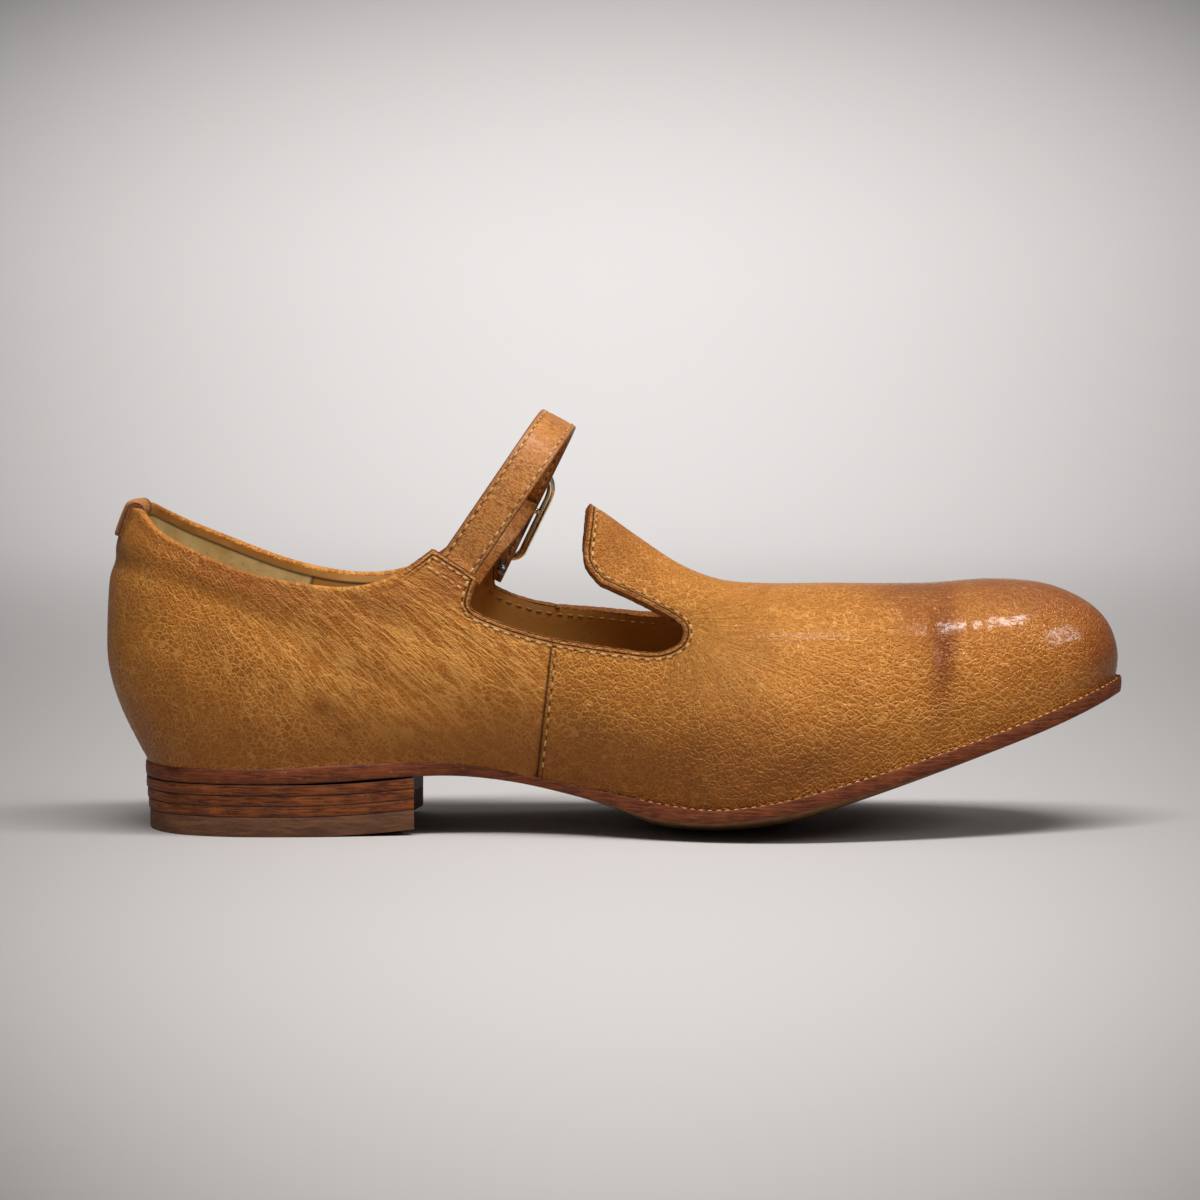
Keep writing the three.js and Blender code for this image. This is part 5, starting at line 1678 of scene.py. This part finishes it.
def make_buckle():
    gold = finish("gold")
    flat = frame_outline()
    _, _, _, out = buckle_axes()
    ring = tube(buckle_point(flat[:, 1], flat[:, 0]), BUCKLE["wire"], 16, closed=True, up=out)
    half = BUCKLE["width"] / 2 - BUCKLE["wire"]
    w = np.linspace(-half, half, 24)
    thick = BUCKLE["bar"] + 0.35 * smooth(np.abs(w), half - 1.2, half)
    bar = tube(buckle_point(np.full(len(w), BUCKLE["bar_at"]), w), thick, 14, up=out)
    wires = join_parts([outward(*ring), outward(*bar)])
    wire = piece("buckle_wire", *wires, gold, "buckle_metal", ["buckle_frame"])
    end_gap = float(frame_y(PRONG["end"]) - leg_y(PRONG["end"]))
    over_top = end_gap + BUCKLE["wire"] + GAP / 2 + PRONG["radius"]
    over_strap = OVER_BAR + STRAP["thick"] / 2 + 0.1 + PRONG["radius"]
    rows = spline([(BUCKLE["bar_at"] - 0.6, OVER_BAR - 0.6), (BUCKLE["bar_at"] + 0.8, over_strap - 0.1),
                   (PRONG["start"] + 1.5, over_strap + 0.1), (PRONG["end"] - 4, over_top + 0.25),
                   (PRONG["end"], over_top)], 8)
    line, _ = arch_point(leg_y(rows[:, 0]) + rows[:, 1], rows[:, 0])
    radius = PRONG["radius"] * (1 - 0.35 * smooth(np.arange(len(line)), len(line) - 6, len(line)))
    pin = tube(line, radius, 12, up=out)
    prong = closed_piece("buckle_pin", *pin, gold, "buckle_metal", ["buckle_prong"], sharp=50)
    return [wire, prong]


def make_stud():
    """A small steel ball on a short neck under the ear's edge."""
    profile = [(0.0, -STUD["ball"])]
    meet = math.asin(STUD["neck"] / STUD["ball"])
    for angle in np.linspace(math.pi, meet, 18)[1:]:
        profile.append((STUD["ball"] * math.sin(angle), STUD["ball"] * math.cos(angle)))
    top = STUD["neck_top"] - STUD["z"]
    profile += [(STUD["neck"] * 0.92, 1.4), (STUD["neck"] * 1.0, top - 0.25), (STUD["neck"] * 1.5, top - 0.1),
                (STUD["neck"] * 1.5, top)]
    profile = np.array(profile)
    angle = np.linspace(0, 2 * math.pi, 28, endpoint=False)
    centre = np.array([STUD["x"], OUTER_Y, STUD["z"]])
    rings = np.stack([profile[:, None, 0] * np.cos(angle), profile[:, None, 0] * np.sin(angle),
                      np.repeat(profile[:, 1:], len(angle), 1)], -1)
    points = np.vstack([centre + rings[1:].reshape(-1, 3), centre + [0, 0, profile[0, 1]]])
    count = len(angle)
    faces = grid_faces(len(profile) - 1, count, wrap_cols=True)
    faces += [[len(points) - 1, k, (k + 1) % count] for k in range(count)]
    faces.append(list(range((len(profile) - 2) * count, (len(profile) - 1) * count))[::-1])
    return closed_piece("stud_steel", points, faces, finish("steel"), "stud_steel", ["tab_stud"], sharp=50)


def make_heel_tab():
    """The small tab folded over the back of the collar."""
    columns_count, climb_steps = 40, 14
    p = np.linspace(HEEL_TAB["span"], -HEEL_TAB["span"], columns_count)
    open_p = np.where(OPENING[0] > TOE, OPENING[0] - LOOP, OPENING[0])
    order = np.argsort(open_p)
    rim_s = np.interp(p, open_p[order], OPENING[1][order])
    grid_s = np.linspace(0.3, 1, 200)
    share = lambda z: np.array([np.interp(z, outside(q, grid_s)[:, 2], grid_s) for q in p])
    low_out, low_in = share(HEEL_TAB["low_outside"]), share(HEEL_TAB["low_inside"])
    rim = outside(p, rim_s)
    normal = wall_normal(p, rim_s)
    run = unit(np.gradient(rim, axis=0))
    into = unit(np.cross(normal, run))
    into *= np.sign(into[:, 2:3])

    def sheet(offset):
        rows = []
        for t in np.linspace(0, 1, climb_steps, endpoint=False):
            rows.append(wall_point(p, low_out + (rim_s - low_out) * t, np.full(columns_count, -offset)))
        middle = rim - normal * (WALL / 2)
        for angle in np.linspace(0, math.pi, 12):
            reach = WALL / 2 + offset
            rows.append(middle + normal * reach * math.cos(angle) + into * (reach - 0.15) * math.sin(angle))
        for t in np.linspace(1, 0, climb_steps)[1:]:
            rows.append(wall_point(p, low_in + (rim_s - low_in) * t, np.full(columns_count, WALL + offset)))
        return np.stack(rows)

    outer, inner = sheet(HEEL_TAB["thick"]), sheet(0.05)
    swell = np.ones(outer.shape[:2])
    swell[0] = swell[-1] = 0.8
    swell[:, 0] = swell[:, -1] = 0.8
    outer = inner + (outer - inner) * swell[..., None]
    rows, cols = outer.shape[:2]
    points = np.vstack([outer.reshape(-1, 3), inner.reshape(-1, 3)])
    n = rows * cols
    faces = grid_faces(rows, cols) + [f[::-1] for f in grid_faces(rows, cols, start=n)]
    loop = [*range(cols), *[r * cols + cols - 1 for r in range(1, rows)],
            *[(rows - 1) * cols + c for c in range(cols - 2, -1, -1)],
            *[r * cols for r in range(rows - 2, 0, -1)]]
    for a, b in zip(loop, loop[1:] + loop[:1]):
        faces.append([b, a, a + n, b + n])
    edge = np.zeros((rows, cols))
    edge[:2] = edge[-2:] = 1
    edge[:, :5] = edge[:, -5:] = 1
    layer = np.full((rows, cols), 0.9)
    layer[:, 0] = layer[:, -1] = layer[0] = layer[-1] = 0.5
    u = np.linspace(0, 24, rows)[:, None] + np.zeros((1, cols))
    v = np.linspace(-8, 8, cols)[None, :] + np.zeros((rows, 1))
    grain = np.stack([u, v, 0 * u], -1).reshape(-1, 3)
    values = {"edge": np.append(edge.ravel(), np.ones(n)), "layer": np.append(layer.ravel(), np.full(n, 0.9)),
              "grain": np.vstack([grain, grain])}
    return closed_piece("heel_tab_leather", points, faces, finish("strap"), "upper_leather", ["heel_tab"],
                        values=values, sharp=35)


# ---- sewing ----

EAR_ROWS = (1.6, 4.3)  # how far under the ear's top edge its two stitch rows run
THROAT_ROW = {-1: (90, 65.5), 1: (96, 66.5)}  # on each side the throat's row lies ahead of and under this
WELT_START = 137  # the sole's stitches run round the forefoot from here


def on_surface(name, points):
    """Points moved to the nearest place of the skin or the lining, with its normals."""
    found = [WORK[name].find_nearest(Vector(v))[:2] for v in points]
    return np.array([v for v, _ in found]), np.array([n for _, n in found])


def seen_from(side, line):
    """A side-view line laid on the skin."""
    p, s = LAST.place(side, line[:, 0], line[:, 1])
    return on_surface("skin", outside(p, s))


def sew(name, rows, shaded_inside=False):
    """One piece made of rows of stitches."""
    points, faces, hole_shade = stitches(rows)
    values = {"hole_shade": hole_shade}
    # the stitches inside the shoe get the thread's painted shade
    if shaded_inside:
        values["shaded_inside"] = np.ones(len(hole_shade))
    closed_piece(name, points, faces, finish("thread"), "thread", values=values)


def make_sewing():
    sizes = bpy.context.scene.shoe_sizes
    pitch, thread = sizes.stitch_pitch / MM, sizes.thread / MM / 2
    rows = []
    base, normal, into, _ = rim_frame()
    x, side = base[:, 0], np.sign(base[:, 1] - SIDE_MIDDLE)
    # cut edge of the throat and the tongue, as one row from the inner to the outer ear
    low = {}
    for sign, (least_x, most_z) in THROAT_ROW.items():
        low[sign] = np.where((side == sign) & (x > least_x) & (base[:, 2] < most_z))[0]
    start, stop = low[-1][0], low[1][-1]
    line, facing = on_surface("skin", base[start:stop] - into[start:stop] * EDGE_ROW)
    rows.append(stitch_row(line, facing, pitch, thread))
    # the same edge seen on the lining
    under = base[start:stop] - normal[start:stop] * WALL - into[start:stop] * EDGE_ROW
    line, facing = on_surface("lining", under)
    # these stitches inside the shoe get painted shade
    sew("lining_stitches", [stitch_row(line, -facing, pitch, thread * 0.9)], shaded_inside=True)
    for sign, cut in ((-1, INNER_CUT), (1, OUTER_CUT)):
        (x0, z0), (x1, z1) = cut["ear"]
        along_ear = np.array([x1 - x0, z1 - z0]) / math.hypot(x1 - x0, z1 - z0)
        down = np.array([along_ear[1], -along_ear[0]])
        ends = []
        for depth in EAR_ROWS:
            a = np.array([x0, z0]) + down * depth + along_ear * 0.8
            b = np.array([x1, z1]) + down * depth - along_ear * 1.4
            line, facing = seen_from(sign, np.linspace(a, b, 14))
            rows.append(stitch_row(line, facing, pitch * 0.86, thread))
            ends.append(a)
        line, facing = seen_from(sign, np.linspace(ends[0], ends[1], 5))
        rows.append(stitch_row(line, facing, pitch * 0.86, thread))
        z = np.linspace(SEAM_SEWN_TO[sign], SEAM["bottom"][1] - 0.5, 16)
        line, facing = seen_from(sign, np.column_stack([seam_x(z) + SEAM_ROW, z]))
        rows.append(stitch_row(line, facing, pitch * 1.05, thread * 0.85))
    sew("upper_stitches", rows)

    points, across, out = WORK["strap"]
    rows = []
    keep = slice(6, len(points) - 4)
    for sign in (-1, 1):
        for face in (1, -1):
            lift = STRAP["thick"] / 2 - 0.06
            line = points[keep] + across[keep] * sign * STRAP_ROW + out[keep] * face * lift
            rows.append(stitch_row(line, out[keep] * face, pitch, thread))
    sew("strap_stitches", rows)

    welt_start = np.interp(WELT_START, rib(INNER_EDGE, "x"), INNER_EDGE)
    p = np.linspace(welt_start, LOOP - welt_start, 500)
    plan = foot_point(p, sole_margin(rib(p, "x")) * 0.62)
    line = np.column_stack([plan, sole_top(*plan.T)])
    upward = np.tile([0, 0, 1.0], (len(line), 1))
    sew("sole_stitches", [stitch_row(line, upward, pitch * 0.8, thread * 0.72)])


# ---- stage ----

CAMERA = {"x": 127.4, "y": -1050, "z": 128, "lens": 121.9, "pitch": 3.79}
WORLD = {"colour": (1.0, 0.99, 0.985, 1), "strength": 0.34}


def make_stage():
    look = bpy.context.scene.shoe_look
    room = bowl(look)
    for name, spot, target, size, power, colour in LIGHTS:
        light = bpy.data.lights.new(name, "AREA")
        light.shape, light.size, light.size_y = "RECTANGLE", size[0], size[1]
        light.energy, light.color = power, colour
        made = bpy.data.objects.new(name, light)
        made.location = spot
        made.rotation_mode = "QUATERNION"
        made.rotation_quaternion = (Vector(target) - Vector(spot)).to_track_quat("-Z", "Y")
        bpy.context.scene.collection.objects.link(made)
    world = bpy.data.worlds.new("Studio")
    world.use_nodes = True
    background = world.node_tree.nodes["Background"]
    background.inputs["Color"].default_value = WORLD["colour"]
    background.inputs["Strength"].default_value = WORLD["strength"]
    bpy.context.scene.world = world
    data = bpy.data.cameras.new("Camera")
    data.lens, data.sensor_width = CAMERA["lens"], 36
    data.clip_start, data.clip_end = 0.05, 20
    camera = bpy.data.objects.new("Camera", data)
    camera.location = to_frame([CAMERA["x"], CAMERA["y"], CAMERA["z"]])
    camera.rotation_euler = (math.radians(90 - CAMERA["pitch"]), 0, 0)
    bpy.context.scene.collection.objects.link(camera)
    bpy.context.scene.camera = camera
    bpy.context.scene.view_settings.view_transform = "Standard"


# name, place, aimed at, size, power and colour, in metres and watts
LIGHTS = [
    ("Overhead softbox", (0.1, -0.42, 1.25), (0.0, -0.02, 0.0), (1.3, 0.24), 22.0, (1.0, 0.985, 0.97)),
    ("Front fill", (-0.9, -1.3, 0.5), (0.0, 0.0, 0.03), (0.9, 0.9), 0.8, (1.0, 0.98, 0.96)),
    ("Toe side", (1.1, -0.35, 0.75), (0.1, 0.0, 0.04), (0.35, 0.35), 3.2, (1.0, 0.99, 0.98)),
    ("Backdrop glow", (0.0, 1.3, 1.3), (0.0, 2.4, 0.3), (1.4, 0.5), 26.0, (1.0, 1.0, 1.0)),
]


# how the painted pool of light on the floor and the wall spreads and fades into painted shade, in metres
PAINTED_LIGHT_POOL = {"spread": 0.16, "front": 1.1, "height": 0.15, "tall": 0.21, "near": 0.15, "deep": 0.5, "most": 0.75}


def bowl(look):
    """A pale floor that turns up softly into a round wall, with a painted pool of light that fades into
    painted shade.
    """
    profile = [(0.3, 0.0), (0.6, 0.0), (1.0, 0.0), (1.5, 0.0)]
    for angle in np.linspace(0, math.pi / 2, 16)[1:]:
        profile.append((1.5 + 0.9 * math.sin(angle), 0.9 - 0.9 * math.cos(angle)))
    profile += [(2.4, 1.4), (2.4, 2.2)]
    profile = np.array(profile)
    turn = np.linspace(0, 2 * math.pi, 96, endpoint=False)
    points = np.stack([profile[:, None, 0] * np.cos(turn), profile[:, None, 0] * np.sin(turn),
                       np.repeat(profile[:, 1:], len(turn), 1)], -1).reshape(-1, 3)
    points = np.vstack([points, [[0, 0, 0]]])
    faces = grid_faces(len(profile), len(turn), wrap_cols=True)
    faces += [[len(points) - 1, k, (k + 1) % len(turn)] for k in range(len(turn))]
    mesh = bpy.data.meshes.new("Backdrop")
    mesh.from_pydata(points, [], faces)
    mesh.polygons.foreach_set("use_smooth", np.ones(len(mesh.polygons), bool))
    f = Finish("Pale paper", {"Roughness": 0.9, "Specular IOR Level": 0.05})
    spot = f.node("ShaderNodeTexCoord", out="Object")
    x, y, z = f.parts(spot)
    fibre = f.node("ShaderNodeTexNoise", {}, {"Vector": spot, "Scale": 60.0, "Detail": 3.0})
    # a painted pool of light behind the shoe fades into painted shade sideways, up the wall and towards the
    # front of the floor
    side = x * y.maths("DIVIDE", 1 / PAINTED_LIGHT_POOL["spread"], (y + PAINTED_LIGHT_POOL["front"]).at_least(0.3))
    up = ((z - PAINTED_LIGHT_POOL["height"]) * (1 / PAINTED_LIGHT_POOL["tall"])).at_least(0.0)
    near = ((y * -1 - PAINTED_LIGHT_POOL["near"]) * (1 / PAINTED_LIGHT_POOL["deep"])).at_least(0.0)
    fade = (side * side * 0.42 + up * up * 0.3 + near * near * 0.7).at_most(PAINTED_LIGHT_POOL["most"])
    bright = f.mix(tuple(look.paper), tuple(look.paper_wall), y.rise(0.2, 1.0))
    # painted shade: the paper darkens towards the painted shade colour as fade grows
    paper = f.mix(bright, tuple(look.paper_painted_shade), fade)
    f.set("Base Color", f.mix(paper, tuple(c * 0.9 for c in look.paper), fibre * 0.03))
    mesh.materials.append(f.material)
    made = bpy.data.objects.new("Backdrop", mesh)
    bpy.context.scene.collection.objects.link(made)
    return made


# ---- the panel's values ----


def colour_prop(name, description, code):
    return FloatVectorProperty(name=name, description=description, subtype="COLOR", size=3, min=0, max=1,
                               default=tint(code))


class ShoeLook(bpy.types.PropertyGroup):
    leather: colour_prop("Tan leather", "Main colour of the upper and the strap", "b5691e")
    leather_deep: colour_prop("Deep tan", "Darker mottling of the leather", "874814")
    leather_light: colour_prop("Light tan", "Paler clouds of the leather", "c97f2e")
    vein: colour_prop("Veins", "Fine pale lines in the leather", "e0a052")
    # also the colour of the painted shade low on the sides
    burnish_and_shade: colour_prop("Burnish", "Hand-rubbed dark places", "5a2f14")
    oxblood: colour_prop("Red burnish", "Reddish toe, heel and creases", "823414")
    lining_heel: colour_prop("Heel lining", "Olive lining round the heel", "e0cc94")
    lining_front: colour_prop("Front lining", "Tan lining ahead of the lap", "b07830")
    rubber: colour_prop("Top piece", "Rubber under the heel", "5e4030")
    gold: colour_prop("Buckle", "Pale gold wire", "f0e4c4")
    thread: colour_prop("Thread", "Waxed thread", "d9a566")
    paper: colour_prop("Backdrop", "Pale floor and wall", "bebbba")
    paper_wall: colour_prop("Backdrop's wall", "Pale wall behind the floor", "bfbcbb")
    # painted shade where the floor and the wall fade
    paper_painted_shade: colour_prop("Backdrop's edge", "Where the floor and the wall fade", "2c2b2a")


class ShoeSizes(bpy.types.PropertyGroup):
    skin_pitch: FloatProperty(name="Skin mesh", description="Distance between the skin's points",
                              default=0.00105, min=0.0006, max=0.005, unit="LENGTH", precision=5)
    stitch_pitch: FloatProperty(name="Stitch", description="Length of one stitch with its gap",
                                default=0.0028, min=0.001, max=0.006, unit="LENGTH", precision=5)
    thread: FloatProperty(name="Thread", description="Diameter of the thread",
                          default=0.00064, min=0.0002, max=0.002, unit="LENGTH", precision=5)


# ---- operators ----


class PartOperator:
    """What the shoe's operators share: each calls the function that makes its pieces."""

    bl_options = {"REGISTER", "UNDO"}

    def execute(self, context):
        type(self).make()
        return {"FINISHED"}


class SHOE_OT_outsole(PartOperator, bpy.types.Operator):
    """Make the outsole with its worked edge"""

    bl_idname = "shoe.outsole"
    bl_label = "Outsole"
    make = staticmethod(make_outsole)


class SHOE_OT_heel(PartOperator, bpy.types.Operator):
    """Make the heel's lifts and its top piece"""

    bl_idname = "shoe.heel"
    bl_label = "Heel"
    make = staticmethod(make_heel)


class SHOE_OT_insole(PartOperator, bpy.types.Operator):
    """Make the insole"""

    bl_idname = "shoe.insole"
    bl_label = "Insole"
    make = staticmethod(make_insole)


class SHOE_OT_upper(PartOperator, bpy.types.Operator):
    """Make the upper's outside with its creases, seam grooves and edges"""

    bl_idname = "shoe.upper"
    bl_label = "Upper"
    make = staticmethod(make_upper)


class SHOE_OT_lining(PartOperator, bpy.types.Operator):
    """Make the upper's lining"""

    bl_idname = "shoe.lining"
    bl_label = "Lining"
    make = staticmethod(make_lining)


class SHOE_OT_strap(PartOperator, bpy.types.Operator):
    """Make the strap over the instep"""

    bl_idname = "shoe.strap"
    bl_label = "Strap"
    make = staticmethod(make_strap)


class SHOE_OT_tab(PartOperator, bpy.types.Operator):
    """Make the buckle's leather tab"""

    bl_idname = "shoe.tab"
    bl_label = "Buckle tab"
    make = staticmethod(make_tab)


class SHOE_OT_buckle(PartOperator, bpy.types.Operator):
    """Make the buckle's wire, bar and pin"""

    bl_idname = "shoe.buckle"
    bl_label = "Buckle"
    make = staticmethod(make_buckle)


class SHOE_OT_stud(PartOperator, bpy.types.Operator):
    """Make the small steel stud"""

    bl_idname = "shoe.stud"
    bl_label = "Stud"
    make = staticmethod(make_stud)


class SHOE_OT_heel_tab(PartOperator, bpy.types.Operator):
    """Make the tab over the back of the collar"""

    bl_idname = "shoe.heel_tab"
    bl_label = "Heel tab"
    make = staticmethod(make_heel_tab)


class SHOE_OT_sewing(PartOperator, bpy.types.Operator):
    """Sew the upper, the strap and the sole, which need the upper and the strap first"""

    bl_idname = "shoe.sewing"
    bl_label = "Stitches"
    make = staticmethod(make_sewing)


class SHOE_OT_stage(PartOperator, bpy.types.Operator):
    """Make the floor, the lights and the camera"""

    bl_idname = "shoe.stage"
    bl_label = "Stage"
    make = staticmethod(make_stage)


STEPS = (
    SHOE_OT_outsole, SHOE_OT_heel, SHOE_OT_insole, SHOE_OT_upper, SHOE_OT_lining, SHOE_OT_strap, SHOE_OT_tab,
    SHOE_OT_buckle, SHOE_OT_stud, SHOE_OT_heel_tab, SHOE_OT_sewing, SHOE_OT_stage,
)


class SHOE_PT_panel(bpy.types.Panel):
    """Sizes, colours and steps of the shoe"""

    bl_label = "Mary jane shoe"
    bl_idname = "SHOE_PT_panel"
    bl_space_type = "VIEW_3D"
    bl_region_type = "UI"
    bl_category = "Shoe"

    def draw(self, context):
        for group in (context.scene.shoe_sizes, context.scene.shoe_look):
            for key in group.bl_rna.properties.keys():
                if key not in ("rna_type", "name"):
                    self.layout.prop(group, key)
        for step in STEPS:
            self.layout.operator(step.bl_idname)


CLASSES = (ShoeLook, ShoeSizes, *STEPS, SHOE_PT_panel)


def register():
    for cls in CLASSES:
        bpy.utils.register_class(cls)
    bpy.types.Scene.shoe_look = PointerProperty(type=ShoeLook)
    bpy.types.Scene.shoe_sizes = PointerProperty(type=ShoeSizes)


def unregister():
    del bpy.types.Scene.shoe_sizes
    del bpy.types.Scene.shoe_look
    for cls in reversed(CLASSES):
        bpy.utils.unregister_class(cls)


def main():
    register()
    for step in STEPS:
        group, name = step.bl_idname.split(".")
        getattr(getattr(bpy.ops, group), name)()


if __name__ == "__main__":
    main()
